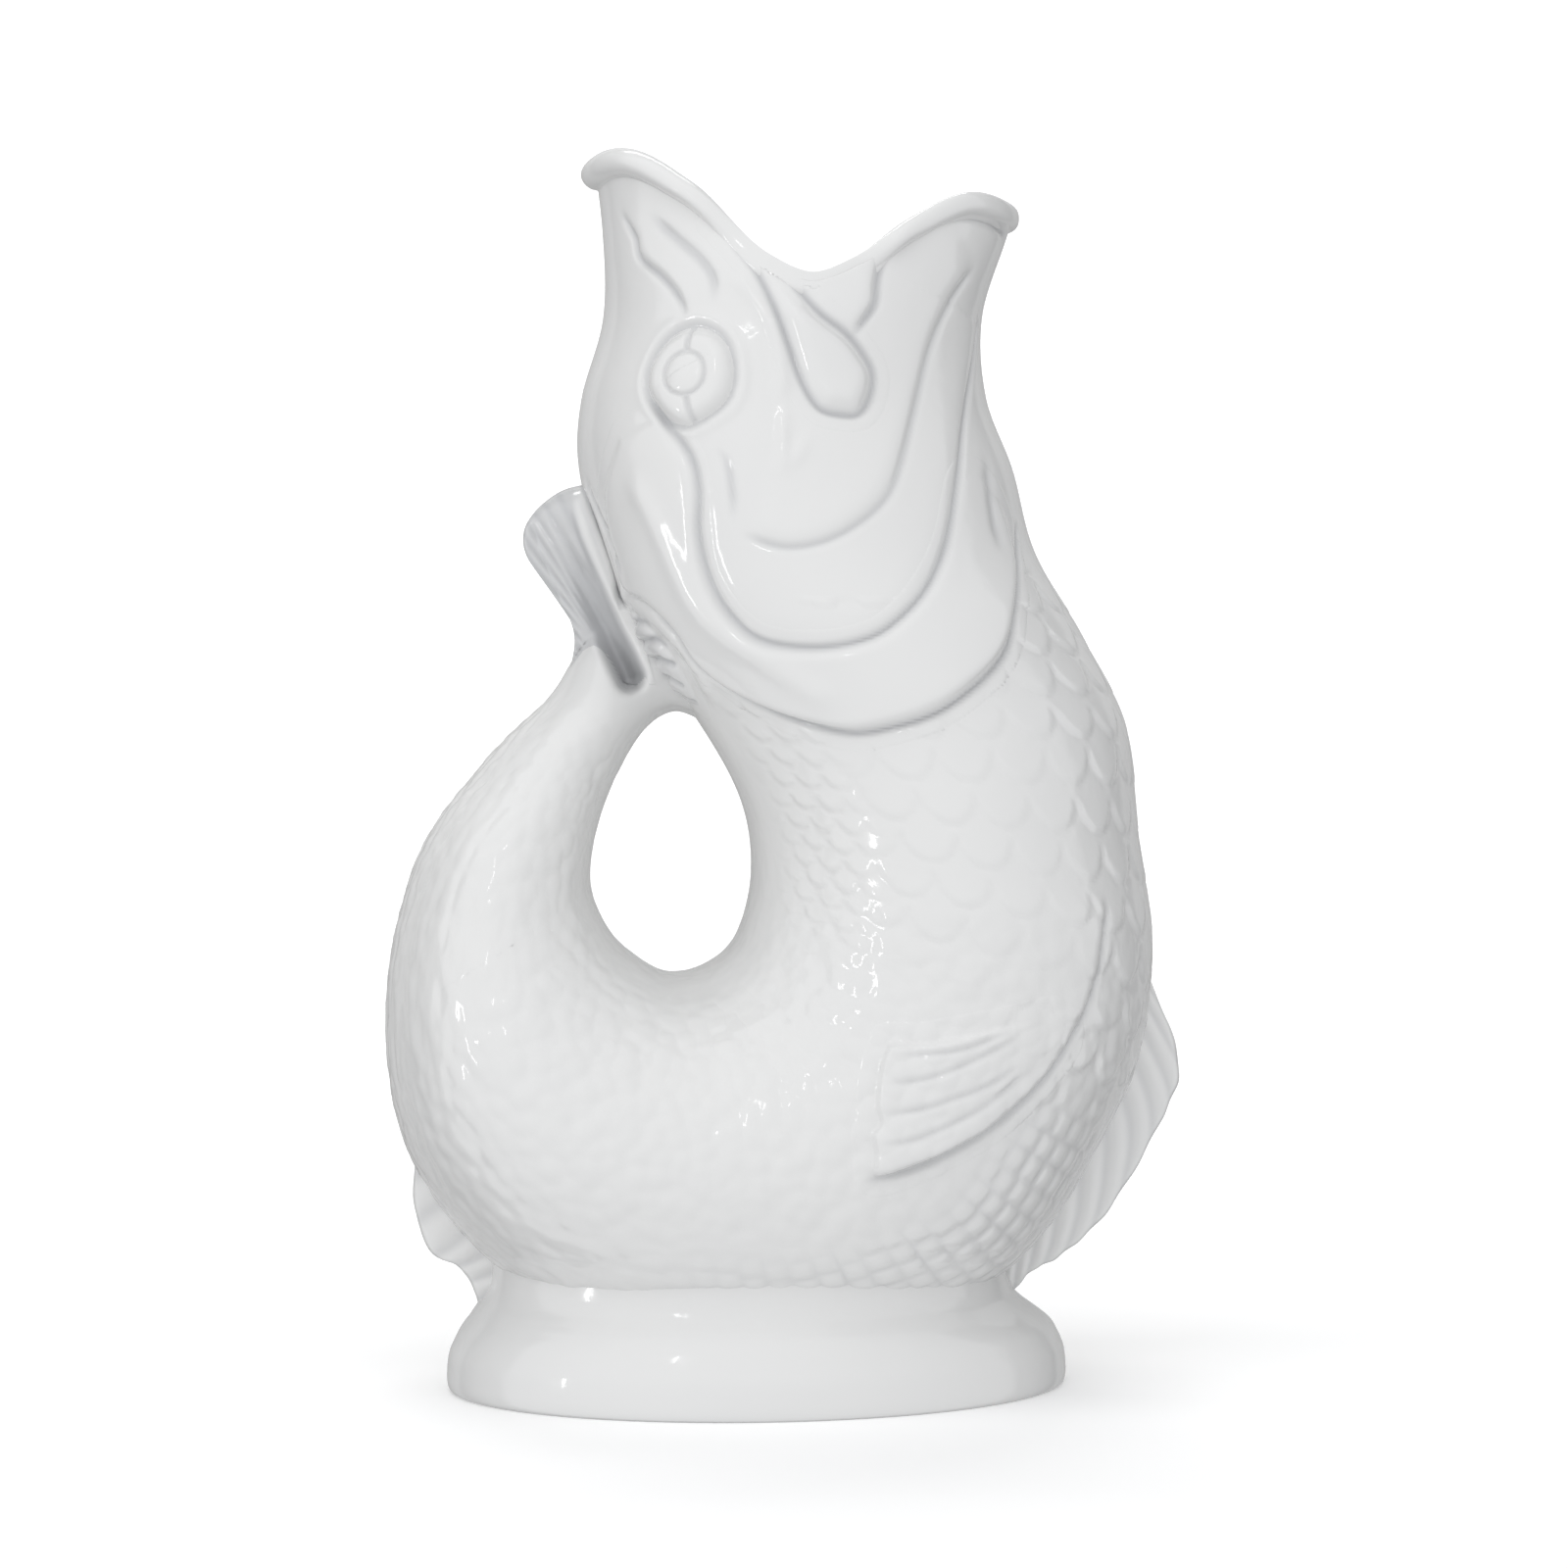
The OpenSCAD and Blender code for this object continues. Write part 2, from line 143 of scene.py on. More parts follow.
# %% Floor
HALF_FLOOR = (0.75, 1.25)
SWEEP, SWEEP_STEPS = 0.5, 12
BACKDROP = 1.5
PAPER = {"Base Color": (0.93, 0.93, 0.93, 1), "Roughness": 0.9,
         "Emission Color": (1, 1, 1, 1), "Emission Strength": 0.16}
floor_bm = bmesh.new()
bmesh.ops.create_grid(floor_bm, x_segments=1, y_segments=1, size=1)
bmesh.ops.scale(floor_bm, vec=(*HALF_FLOOR, 1), verts=floor_bm.verts)
edge = [e for e in floor_bm.edges if all(v.co.y > 0 for v in e.verts)]
for step in range(1, SWEEP_STEPS + 2):
    turned = math.radians(min(90, 90 * step / SWEEP_STEPS))
    wall_height = BACKDROP if step > SWEEP_STEPS else 0
    new = bmesh.ops.extrude_edge_only(floor_bm, edges=edge)["geom"]
    for vert in (g for g in new if isinstance(g, bmesh.types.BMVert)):
        vert.co.y = HALF_FLOOR[1] + SWEEP * math.sin(turned)
        vert.co.z = SWEEP * (1 - math.cos(turned)) + wall_height
    edge = [g for g in new if isinstance(g, bmesh.types.BMEdge)]
    edge = [e for e in edge if abs(e.verts[0].co.z - e.verts[1].co.z) < 1e-6]
floor_mesh = bpy.data.meshes.new("floor")
floor_bm.to_mesh(floor_mesh)
floor_bm.free()
floor_mesh.shade_smooth()
floor = bpy.data.objects.new("floor", floor_mesh)
scene.collection.objects.link(floor)
paper = bpy.data.materials.new("pale_paper")
paper.use_nodes = True
for title, value in PAPER.items():
    paper.node_tree.nodes["Principled BSDF"].inputs[title].default_value = value
floor_mesh.materials.append(paper)
floor.visible_glossy = False
floor.visible_diffuse = False
print("floor faces:", len(floor_mesh.polygons))

# %% [markdown]
# ## Glaze
# Every piece has the same thick white glaze. It is never one flat colour: grooves and hollows are painted
# greyer, partly for glaze that runs thicker there and partly as painted shade, it is a little cloudy, and
# its skin is slightly uneven, which breaks up the reflections. The grooves are known when a piece is
# carved, so their depth is kept on the mesh as an attribute named hollow, which sets how much painted
# shade a point gets.

# %% Glaze
# The second colour is the grey of pooled glaze together with painted shade, mixed in by the hollow
# attribute.
THIN_GLAZE, POOLED_AND_SHADED_GLAZE = (0.80, 0.80, 0.795, 1), (0.57, 0.575, 0.585, 1)
CLOUD_DARK, CLOUD_LIGHT = (0.965, 0.967, 0.97, 1), (1, 1, 0.995, 1)
TINT_CLOUDS, SHEEN_CLOUDS, SKIN_CLOUDS = (28, 3), (45, 2), (140, 2)
SHEEN_LOW, SHEEN_HIGH = 0.06, 0.13
BUMP_STRENGTH, BUMP_HEIGHT = 0.35, 0.4 * MM
GLAZE_IOR = 1.52


def white_glaze():
    """White gloss glaze: greyer in hollows by pooled glaze and painted shade, a little cloudy, with a
    faintly uneven skin.
    """
    material = bpy.data.materials.new("white_glaze")
    material.use_nodes = True
    nodes = material.node_tree.nodes
    link = material.node_tree.links.new
    shader = nodes["Principled BSDF"]
    shader.inputs["IOR"].default_value = GLAZE_IOR
    object_place = nodes.new("ShaderNodeTexCoord").outputs["Object"]

    def cloud(scale, detail):
        node = nodes.new("ShaderNodeTexNoise")
        node.inputs["Scale"].default_value = scale
        node.inputs["Detail"].default_value = detail
        link(object_place, node.inputs["Vector"])
        return node.outputs["Fac"]

    # Painted shade: the hollow attribute mixes the glaze towards the grey of pooled glaze and shade.
    hollow = nodes.new("ShaderNodeAttribute")
    hollow.attribute_name = "hollow"
    pooled_and_shaded = nodes.new("ShaderNodeMix")
    pooled_and_shaded.data_type = "RGBA"
    pooled_and_shaded.inputs["A"].default_value = THIN_GLAZE
    pooled_and_shaded.inputs["B"].default_value = POOLED_AND_SHADED_GLAZE
    link(hollow.outputs["Fac"], pooled_and_shaded.inputs["Factor"])
    cloudy = nodes.new("ShaderNodeMix")
    cloudy.data_type = "RGBA"
    cloudy.blend_type = "MULTIPLY"
    cloudy.inputs["Factor"].default_value = 1
    tint = nodes.new("ShaderNodeValToRGB")
    tint.color_ramp.elements[0].color = CLOUD_DARK
    tint.color_ramp.elements[1].color = CLOUD_LIGHT
    link(cloud(*TINT_CLOUDS), tint.inputs["Fac"])
    link(pooled_and_shaded.outputs["Result"], cloudy.inputs["A"])
    link(tint.outputs["Color"], cloudy.inputs["B"])
    link(cloudy.outputs["Result"], shader.inputs["Base Color"])
    sheen = nodes.new("ShaderNodeMapRange")
    sheen.inputs["To Min"].default_value = SHEEN_LOW
    sheen.inputs["To Max"].default_value = SHEEN_HIGH
    link(cloud(*SHEEN_CLOUDS), sheen.inputs["Value"])
    link(sheen.outputs["Result"], shader.inputs["Roughness"])
    bump = nodes.new("ShaderNodeBump")
    bump.inputs["Strength"].default_value = BUMP_STRENGTH
    bump.inputs["Distance"].default_value = BUMP_HEIGHT
    link(cloud(*SKIN_CLOUDS), bump.inputs["Height"])
    link(bump.outputs["Normal"], shader.inputs["Normal"])
    return material


glaze = white_glaze()
print("glaze nodes:", len(glaze.node_tree.nodes))

# %% [markdown]
# ## The fish in slices
# A fish is a row of oval slices, from the mouth down to the belly, round under the finger hole and up to
# the tip of the tail. Each slice has a point on the back, a point on the belly side and a width. A
# sculpted fish would be quicker to start, but slices keep its sizes in view. Places are in percent, of
# the jug's length across and of its height above the plinth; all other sizes are in mm.

# %% Slices
LENGTH, HEIGHT, PLINTH, WALL = 160, 255, 24, 4.5
MOUTH, HEAD, BODY, TAIL, TAIL_END = 61, 82, 104, 60, 27
NECK, FLANK_END, TAIL_ROOT, TAIL_TIP = 6, 14.5, 15, 20


def place(x, z):
    """A point of the side view, in mm, from percent of the length and of the height above the plinth."""
    return x * LENGTH / 100, PLINTH + z * (HEIGHT - PLINTH) / 100


SLICES = np.array([(*place(*back), *place(*front), width / 2) for back, front, width in [
    ((-20.6, 103), (36.4, 101), 0.94 * MOUTH),
    ((-19, 93.5), (33.8, 93.5), MOUTH),
    ((-19, 85.7), (30.2, 85.7), 0.5 * (MOUTH + HEAD)),
    ((-21.9, 78.4), (30.6, 78.4), 0.93 * HEAD),
    ((-22.3, 72.3), (34, 71.9), HEAD),
    ((-19.6, 65), (36.8, 64.5), 0.7 * HEAD + 0.3 * BODY),
    ((-15.2, 57.1), (42.8, 57.1), 0.4 * HEAD + 0.6 * BODY),
    ((-7, 49.4), (48.5, 48.9), 0.94 * BODY),
    ((-1.6, 42.4), (50, 39.4), 0.98 * BODY),
    ((-0.3, 35.9), (51.6, 27.7), BODY),
    ((-2.3, 30.3), (47.2, 14.7), 0.98 * BODY),
    ((-6.3, 27.7), (30.9, -0.9), 0.94 * BODY),
    ((-11.1, 27), (0, -6), 0.9 * BODY),
    ((-15.2, 28.4), (-27.8, -1.7), 0.86 * BODY),
    ((-18.9, 30.9), (-43.7, 9.5), 0.5 * BODY + 0.5 * TAIL),
    ((-21.2, 35), (-47.7, 23.4), 1.18 * TAIL),
    ((-20.4, 39.8), (-43.6, 37.2), TAIL),
    ((-17.9, 44.5), (-34.6, 46.1), 0.55 * TAIL + 0.45 * TAIL_END),
    ((-14.2, 48.7), (-26.5, 51.7), 0.3 * TAIL + 0.7 * TAIL_END),
    ((-10.2, 50.4), (-22.6, 55.8), TAIL_END),
    ((-6.2, 49.4), (-16.5, 61), 0.8 * TAIL_END),
]])
print("slices:", len(SLICES))

# %% [markdown]
# ## From slices to skin
# A smooth curve through the slices gives a point of the skin for any slice number u and any angle a,
# where angle 0 is the belly side and negative angles are the right flank. The way out of the skin follows
# from two small steps on it, one along and one across. Relief is later added along that way.

# %% Skin
def curve(points, u):
    """Smooth curve through points, u counting them."""
    points = np.asarray(points, float)
    last = len(points) - 1
    i = np.clip(np.floor(u).astype(int), 0, last - 1)
    t = (u - i)[..., None]
    a, b, c, d = (points[np.clip(i + k, 0, last)] for k in (-1, 0, 1, 2))
    return b + 0.5 * t * ((c - a) + t * ((2 * a - 5 * b + 4 * c - d) + t * (3 * (b - c) + d - a)))


def skin(u, a, grow=0):
    """Point of the skin at slice u and angle a, moved out by grow."""
    cut = curve(SLICES, u)
    back, front = cut[..., 0:2], cut[..., 2:4]
    half = (front - back) / 2
    reach = 1 + grow / np.linalg.norm(half, axis=-1)
    side = (front + back) / 2 + half * (reach * np.cos(a))[..., None]
    return np.stack([side[..., 0], (cut[..., 4] + grow) * np.sin(a), side[..., 1]], -1)


def outward(u, a, small=0.02):
    """Direction that points out of the skin."""
    across = skin(u, a + small) - skin(u, a - small)
    along = skin(u - small, a) - skin(u + small, a)
    out = np.cross(across, along)
    return out / np.linalg.norm(out, axis=-1, keepdims=True)


def strides(points):
    """Distances from each point of a line to the next."""
    return np.linalg.norm(np.diff(points, axis=0), axis=1)


def walked(points):
    """Distance of each point of a line from its start, along the line."""
    return np.concatenate([[0], np.cumsum(strides(points))])


print("widest slice:", 2 * SLICES[:, 4].max(), "mm")

# %% [markdown]
# ## Soft shapes
# Clay has no hard steps, so all relief is put together from three soft curves: a ramp from 0 to 1, a bell
# for grooves and ridges, and a shoulder that rises from an edge and levels off. Each is a short formula,
# which is easier to tune than a drawn curve.

# %% Soft shapes
def smooth_step(x):
    """0 below 0, 1 above 1, and a soft step in between."""
    x = np.clip(x, 0, 1)
    return x * x * (3 - 2 * x)


def ramp(x, start, run):
    """0 up to a start, 1 after a run from there, and a soft step in between."""
    return smooth_step((x - start) / run)


def bell(x, width):
    """1 at 0, and nearly 0 past twice the width on both sides."""
    return np.exp(-(x / width) ** 2)


def shoulder(depth, height, width):
    """Rises from 0 at an edge to a height, most of it within the width."""
    return height * (1 - bell(depth, width))


print("half way up a ramp:", ramp(1, 0, 2), "one width from a bell:", round(float(bell(1, 1)), 2))

# %% [markdown]
# ## A net that becomes a mesh
# Every curved piece here starts as a flat grid, like a sheet of paper. Its corners are moved onto a net
# of points, and where the sheet's edges meet they are welded. That gives clean rows of faces along the
# form, which carving needs. A sculpt brush would work too, but it would not come out the same each time.

# %% From net to piece
WELD = 0.002 * MM


def form(net, hollow, keep=None, lining=0):
    """A mesh from a net of points in mm. Points not kept are cut away; a lining closes a sheet."""
    rows, columns = net.shape[:2]
    bm = bmesh.new()
    # The hollow layer holds how much painted shade each point gets.
    depth = bm.verts.layers.float.new("hollow")
    bmesh.ops.create_grid(bm, x_segments=columns - 1, y_segments=rows - 1, size=1)
    for vert, point, deep in zip(bm.verts, net.reshape(-1, 3) * MM, hollow.reshape(-1)):
        vert.co = point
        vert[depth] = deep
    if keep is not None:
        spare = [v for v, kept in zip(bm.verts, keep.reshape(-1)) if not kept]
        bmesh.ops.delete(bm, geom=spare, context="VERTS")
    bmesh.ops.remove_doubles(bm, verts=bm.verts, dist=WELD)
    if lining:
        bm.normal_update()
        if sum(face.normal.y * face.calc_center_median().y for face in bm.faces) < 0:
            bmesh.ops.reverse_faces(bm, faces=bm.faces[:])
            bm.normal_update()
        bmesh.ops.solidify(bm, geom=bm.faces[:], thickness=lining * MM)
    bmesh.ops.recalc_face_normals(bm, faces=bm.faces)
    return bm


def finish_piece(bm, name, *nodes):
    """The mesh becomes a glazed piece that rides on the jug and stands for its solids."""
    mesh = bpy.data.meshes.new(name)
    bm.to_mesh(mesh)
    bm.free()
    mesh.shade_smooth()
    mesh.materials.append(glaze)
    piece = bpy.data.objects.new(name, mesh)
    scene.collection.objects.link(piece)
    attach(piece, "root")
    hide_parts(*nodes)
    triangles = sum(len(p.vertices) - 2 for p in mesh.polygons)
    print(name, "triangles:", triangles)


print("points closer than", WELD / MM, "mm are welded")

# %% [markdown]
# ## Lines drawn on the skin
# The face is drawn with lines: the gill edge, the cheek, the brows and the lips. Each is a few points of
# the side view that are pinned onto the skin, so the same line serves both flanks. A Shrinkwrap modifier
# could project them too. Here the skin is a formula, so a coarse search and a few straight steps find the
# slice and the angle at which it passes a point.

# %% Pin lines onto the skin
def locate(flat, low, high):
    """Slice and cosine of the angle at which the skin passes points of the side view."""
    slices = np.linspace(low, high, int(12 * (high - low)))
    u, c = np.meshgrid(slices, np.linspace(-0.98, 0.98, 50), indexing="ij")
    known = skin(u, -np.arccos(c))[..., [0, 2]].reshape(-1, 2)
    first = [int(((known - p) ** 2).sum(1).argmin()) for p in flat]
    u, c = u.reshape(-1)[first], c.reshape(-1)[first]

    def side_view(u):
        cut = curve(SLICES, u)
        half = (cut[:, 2:4] - cut[:, 0:2]) / 2
        return cut[:, 0:2] + half * (1 + c[:, None]), half

    for _ in range(10):
        here, by_c = side_view(u)
        by_u = (side_view(u + 0.01)[0] - here) / 0.01
        off = flat - here
        turn = by_u[:, 0] * by_c[:, 1] - by_u[:, 1] * by_c[:, 0]
        u = np.clip(u + (off[:, 0] * by_c[:, 1] - off[:, 1] * by_c[:, 0]) / turn, low, high)
        c = np.clip(c + (by_u[:, 0] * off[:, 1] - by_u[:, 1] * off[:, 0]) / turn, -1.3, 1.3)
    return u, c


def pin(points, closed=False):
    """A smooth line through points of the side view, laid on the right flank."""
    points = np.asarray(points, float)
    if closed:
        points = np.vstack([points, points[:1]])
    flat = curve(points, np.linspace(0, len(points) - 1, 4 * len(points)))
    u, c = locate(flat, 0, FLANK_END)
    return skin(u, -np.arccos(np.clip(c, -0.995, 0.995)))


print("a point of the flank:", pin([(0, 150), (10, 150)])[0].round(1), "mm")

# %% [markdown]
# ## Distances to a line
# What carving needs to know of a point on the skin is how far it is from a line, on which side, and how
# near the line's end. A line is a row of short straight pieces, and the nearest one gives the answer.
# Points out of reach are left out, because most of the skin is far from any one line.

# %% Distances to a line
REACH = 24
FAR = 1e3


def near(line, places):
    """Distance of places from a line, the side of it (1 is left of its way) and the distance to its ends.
    Places out of reach are far away."""
    shape = places.shape[:-1]
    places = places.reshape(-1, 3)
    best = np.full(len(places), FAR)
    side = np.zeros(len(places))
    ends = np.zeros(len(places))
    close = np.flatnonzero(((places > line.min(0) - REACH) & (places < line.max(0) + REACH)).all(1))
    part = places[close]
    steps = strides(line)
    start = walked(line)
    for k, (p, q) in enumerate(zip(line[:-1], line[1:])):
        edge = q - p
        t = np.clip((part - p) @ edge / max(edge @ edge, 1e-9), 0, 1)
        gap = part - p - t[:, None] * edge
        distance = np.sqrt((gap ** 2).sum(1))
        closer = distance < best[close]
        index = close[closer]
        best[index] = distance[closer]
        side[index] = np.sign(edge[0] * gap[closer, 2] - edge[2] * gap[closer, 0])
        along = start[k] + t[closer] * steps[k]
        ends[index] = np.minimum(along, start[-1] - along)
    return best.reshape(shape), side.reshape(shape), ends.reshape(shape)


def inside(points, places):
    """Whether places lie inside an outline of the side view."""
    x, z = places[..., 0], places[..., 2]
    within = np.zeros(x.shape, bool)
    for (x0, z0), (x1, z1) in zip(points, np.roll(points, -1, axis=0)):
        crosses = (z0 > z) != (z1 > z)
        within ^= crosses & (x < (x1 - x0) * (z - z0) / (z1 - z0 + 1e-12) + x0)
    return within


def right_flank(places):
    """Places of both flanks, folded onto the right one."""
    return np.stack([places[..., 0], -np.abs(places[..., 1]), places[..., 2]], -1)


test_line = np.array([(0, 0, 0), (10, 0, 0)])
print("distance, side and way to the end:", near(test_line, np.array([(4, 0, 3)])))

# %% [markdown]
# ## Lines of the face
# Each line is a groove with, on its left, a shelf: the edge of a plate that lies over the next one, as
# the cheek lies over the gill cover. A line is given as its points in mm, the groove's depth and half
# width, and the shelf's height, rise and run. A soft ridge is a groove of negative depth.

# %% Lines of the face
def face_line(points, depth, width, shelf=0, rise=1, run=1):
    """A line of the face. Most have no shelf."""
    return points, depth, width, shelf, rise, run


LINES = {
    "gill_edge": face_line(
        [(-22.1, 162.4), (-16.7, 156.8), (-12.9, 151.2), (-7.7, 146.1), (0.8, 141), (9.1, 137.8),
         (16.8, 136.2), (23.9, 137.2), (33.1, 140.1), (41.4, 145.6), (47.5, 151.8), (50.1, 159),
         (52.5, 170.1), (53.2, 180)],
        0.9, 0.65),
    "preopercle": face_line(
        [(-22.6, 205), (-21.9, 202.9), (-19, 198), (-15.9, 194.2), (-13.7, 189.9), (-12.8, 184.5),
         (-12.8, 176), (-10.8, 167), (-6.6, 159.6), (-0.3, 154.5), (10.1, 153.1), (20, 154.9),
         (26.7, 159.3), (32.3, 165.5), (36.7, 174.5), (39.4, 185.9), (41.7, 198.3), (45.1, 212.5),
         (46.7, 223)],
        0.9, 0.75, 0.8, 3.2, 14),
    "cheek": face_line(
        [(-5.2, 175.8), (3.8, 173), (12.3, 174.3), (20.3, 178.9), (25.2, 184.2), (28.3, 192.3),
         (31.5, 203.2), (34.7, 214.1), (39.3, 223.2), (45.5, 231.2)],
        0.6, 0.8, 0.8, 2.2, 12),
    "under_eye": face_line(
        [(-9.7, 193.3), (-7.1, 189.9), (-6.1, 183.1), (-6.2, 177.1)], 0.55, 0.75, 0.2, 1.5, 5),
    "brow": face_line(
        [(-27.5, 243), (-24.4, 237), (-23.4, 232.5), (-19.1, 227.9), (-16, 223.5), (-14.3, 218.6)],
        0.8, 0.75, 0.6, 1.4, 6),
    "upper_brow": face_line(
        [(-22, 241.5), (-16.4, 235.9), (-11.5, 230.9), (-9.2, 226.5), (-9.6, 221)], 0.6, 1, 0.5, 1.6, 7),
    "lower_lip": face_line(
        [(17.4, 213.6), (20, 217.5), (22.8, 221.6), (23.6, 227), (25.9, 233.2), (32.2, 238),
         (42.3, 240.6), (50.1, 239.4), (54, 237)],
        0.9, 0.8, 1.1, 1.6, 9),
    "eye_ridge": face_line(
        [(-6.6, 228.5), (-2.4, 224.2), (1.4, 218.7), (3.3, 213.4), (3.9, 207), (4, 200)], -0.7, 1.5),
    "opercle_ridge": face_line(
        [(-26.5, 189.1), (-20.9, 178.7), (-13.8, 163.5), (-7.7, 156.4), (0.6, 151), (9.3, 145),
         (16.2, 141.5)],
        -0.7, 2.6),
    "throat": face_line([(46.7, 192.6), (46.6, 186.1), (47.2, 177.9), (48, 170.9)], 0.5, 1.6),
    "jaw_edge": face_line(
        [(-7.3, 236.7), (-1.6, 229.7), (2.4, 221.4), (5.2, 213.4), (7.7, 206.1), (10.9, 200.8),
         (14.9, 199.3), (19.3, 199.6), (21.8, 204.2), (21.9, 208.2), (20.2, 211.5), (17.9, 214.5),
         (15.9, 216.4), (11.3, 220), (5.5, 226.8), (1, 232)],
        0.9, 0.75),
    "jaw_fold": face_line([(4, 203), (4, 196), (3.6, 190), (2.6, 185)], -0.65, 1.2),
    "cheek_fold": face_line([(10, 197), (8, 193.5), (5.4, 189.5), (2.6, 186.2)], -0.4, 1.6),
    "flank_edge": face_line(
        [(17, 47.8), (20.3, 48.3), (28.9, 50.6), (37.7, 54.5), (43.9, 58), (49.3, 62.2), (55.6, 68.5),
         (60.1, 75.3), (63.9, 82.1), (66.3, 90.7), (67.6, 98), (68, 104)],
        0.7, 0.75, 1.3, 1.6, 14),
    "gill_back": face_line(
        [(-34.5, 190), (-33.5, 184.8), (-30.8, 178.2), (-27.4, 171.7), (-25.7, 167)], 0.6, 1.2),
    "nape_border": face_line(
        [(-28, 165.4), (-25.3, 163.5), (-20.6, 159.1), (-17.2, 155.5), (-13.8, 151.3), (-10.9, 146),
         (-8.3, 140.3)],
        -1.0, 2.2),
}
pinned = {name: pin(points) for name, (points, *_) in LINES.items()}
print("lines on the skin:", len(pinned))

# %% [markdown]
# ## Around the eye
# The eye is round on the skin, not in the side view. Around its middle, slice and angle are turned into a
# distance and a direction on the skin, with direction 0 to the belly side and a quarter turn up. Its
# socket is then a radius for each direction, which is simpler than an outline of points.

# %% Around the eye
EYE_U, EYE_A = 2.84, math.radians(-121.6)
SOCKET, SOCKET_POINT = 9.9, 2.0


def eye_step(by_u, by_a):
    """Way on the skin for a small step up and a small step round from the eye's middle, both ways."""
    ahead, behind = (skin(np.array(EYE_U - s * by_u), np.array(EYE_A + s * by_a)) for s in (1, -1))
    return (ahead - behind) / (2 * (by_u + by_a))


eye_by_u = eye_step(0.05, 0)
eye_by_a = eye_step(0, 0.02)
eye_up = eye_by_u / np.linalg.norm(eye_by_u)
eye_side = eye_by_a - (eye_by_a @ eye_up) * eye_up
eye_side /= np.linalg.norm(eye_side)
eye_map = np.array([[eye_by_a @ axis, -(eye_by_u @ axis)] for axis in (eye_side, eye_up)])


def around_eye(u, a):
    """Distance and direction from the eye's middle, for slices and angles on the right flank."""
    steps = np.stack([a - EYE_A, u - EYE_U], -1) @ eye_map.T
    return np.hypot(steps[..., 0], steps[..., 1]), np.arctan2(steps[..., 1], steps[..., 0])


def socket(direction):
    """Radius of the eye's socket: round, with a point below."""
    return SOCKET + SOCKET_POINT * bell(direction + math.radians(95), 0.45) - 0.2 * np.sin(direction) ** 2


print("a slice at the eye is", round(float(np.linalg.norm(eye_by_u)), 1), "mm")

# %% [markdown]
# ## Outlines of the plates
# Gill covers, jaw bars and side fins are plates laid on the skin. Their outlines are drawn in the side
# view as well, and share the points of a line where a groove runs along them. A plate reaches a little
# past its outline, over that groove, and the skin below it is let down to make a bed, so that plate and
# skin pass through each other where both are smooth.

# %% Outlines
OVERLAP = 2.6
BED_DEPTH = 1.3
jaw_edge, gill_edge, flank_edge = (LINES[name][0] for name in ("jaw_edge", "gill_edge", "flank_edge"))
OUTLINES = {
    "jaw": [(-9, 238.5), *jaw_edge[:-1], (0.5, 232.5), (-4, 237)],
    "gill_cover": [
        (-28, 196.2), (-30.9, 185.6), (-29.4, 175.7), (-26.2, 165.7), *gill_edge[:-2], (52, 170.1),
        (50.2, 180.6), (44.6, 188.3), (39.6, 186.4), (36.6, 174.7), (32.6, 166.4), (26.7, 159.3),
        (20, 154.9), (10.1, 153.1), (-0.3, 154.5), (-6.6, 159.6), (-11.2, 167.6), (-12.7, 176.5),
        (-13.7, 188.4), (-16.8, 194.5), (-20.9, 199.2)],
    "pectoral_fin": [
        (22.8, 75.8), (20.8, 69.3), (20.1, 62.9), (20.8, 59.9), (19.2, 57.7), (19.6, 53.8),
        *flank_edge[1:8], (56, 80.5), (49, 79.6), (42.6, 78.3), (34, 76.7), (28.9, 76)],
    "dorsal_fin": [
        (-25.6, 162.3), (-23.3, 154.7), (-20.4, 148.6), (-15.8, 144.6), (-12.8, 142.2), (-11.8, 142.2),
        (-15.1, 148.2), (-17.9, 152.8), (-21.3, 157.4)],
}
outline_lines = {name: pin(points, closed=True) for name, points in OUTLINES.items()}


def depth_inside(name, places):
    """Distance from a plate's outline, positive inside it."""
    distance = near(outline_lines[name], places)[0]
    return np.where(inside(np.array(OUTLINES[name]), places), distance, -distance)


def bed(u, a):
    """How far the skin is let down below the plates and the eyes, in mm."""
    flank = right_flank(skin(u, a))
    r, direction = around_eye(u, -np.abs(a))
    depths = [socket(direction) - r] + [depth_inside(name, flank) + OVERLAP - 0.8 for name in OUTLINES]
    return np.minimum(0.4 * np.clip(np.max(depths, 0), 0, None) ** 2, BED_DEPTH)


print("points of the outlines:", {name: len(points) for name, points in OUTLINES.items()})

# %% [markdown]
# ## Scales
# Fish scales lie like roof tiles: rows across the body, each row shifted by half a scale, each scale
# rising towards its round free edge, which covers the start of the next row. For a point it is enough to
# know the row it is in and whether the tongue of a scale from the row above still covers it. Low on the
# belly the scales are small and square, and the rest of the skin is pebbled.

# %% Scales and pebbled skin
TONGUE = 0.95
path_u = np.linspace(0, TAIL_TIP, 1001)
path = walked(skin(path_u, np.full(len(path_u), -1.05)))


def scales(u, a, pitch, around, edge):
    """Height from 0 to 1 of scales in rows a pitch apart, with so many around the body and a soft edge."""
    run = np.interp(u, path_u, path) / pitch
    row = np.floor(run)
    f = run - row

    def across(r):
        v = a / (2 * math.pi) * around + 0.5 * (r % 2)
        return 2 * (v - np.round(v))

    over, own = across(row - 1), across(row)
    tongue, own_tongue = (TONGUE * np.sqrt(np.clip(1 - off ** 2, 0, 1)) for off in (over, own))
    covered = f < tongue
    t = np.where(covered, (1 + f) / (1 + tongue), f / (1 + own_tongue))
    to_edge = np.where(covered, tongue - f, 1 + own_tongue - f)
    bulge = 1 - 0.3 * np.where(covered, over, own) ** 2
    return t ** 1.4 * bulge * smooth_step(to_edge / edge)


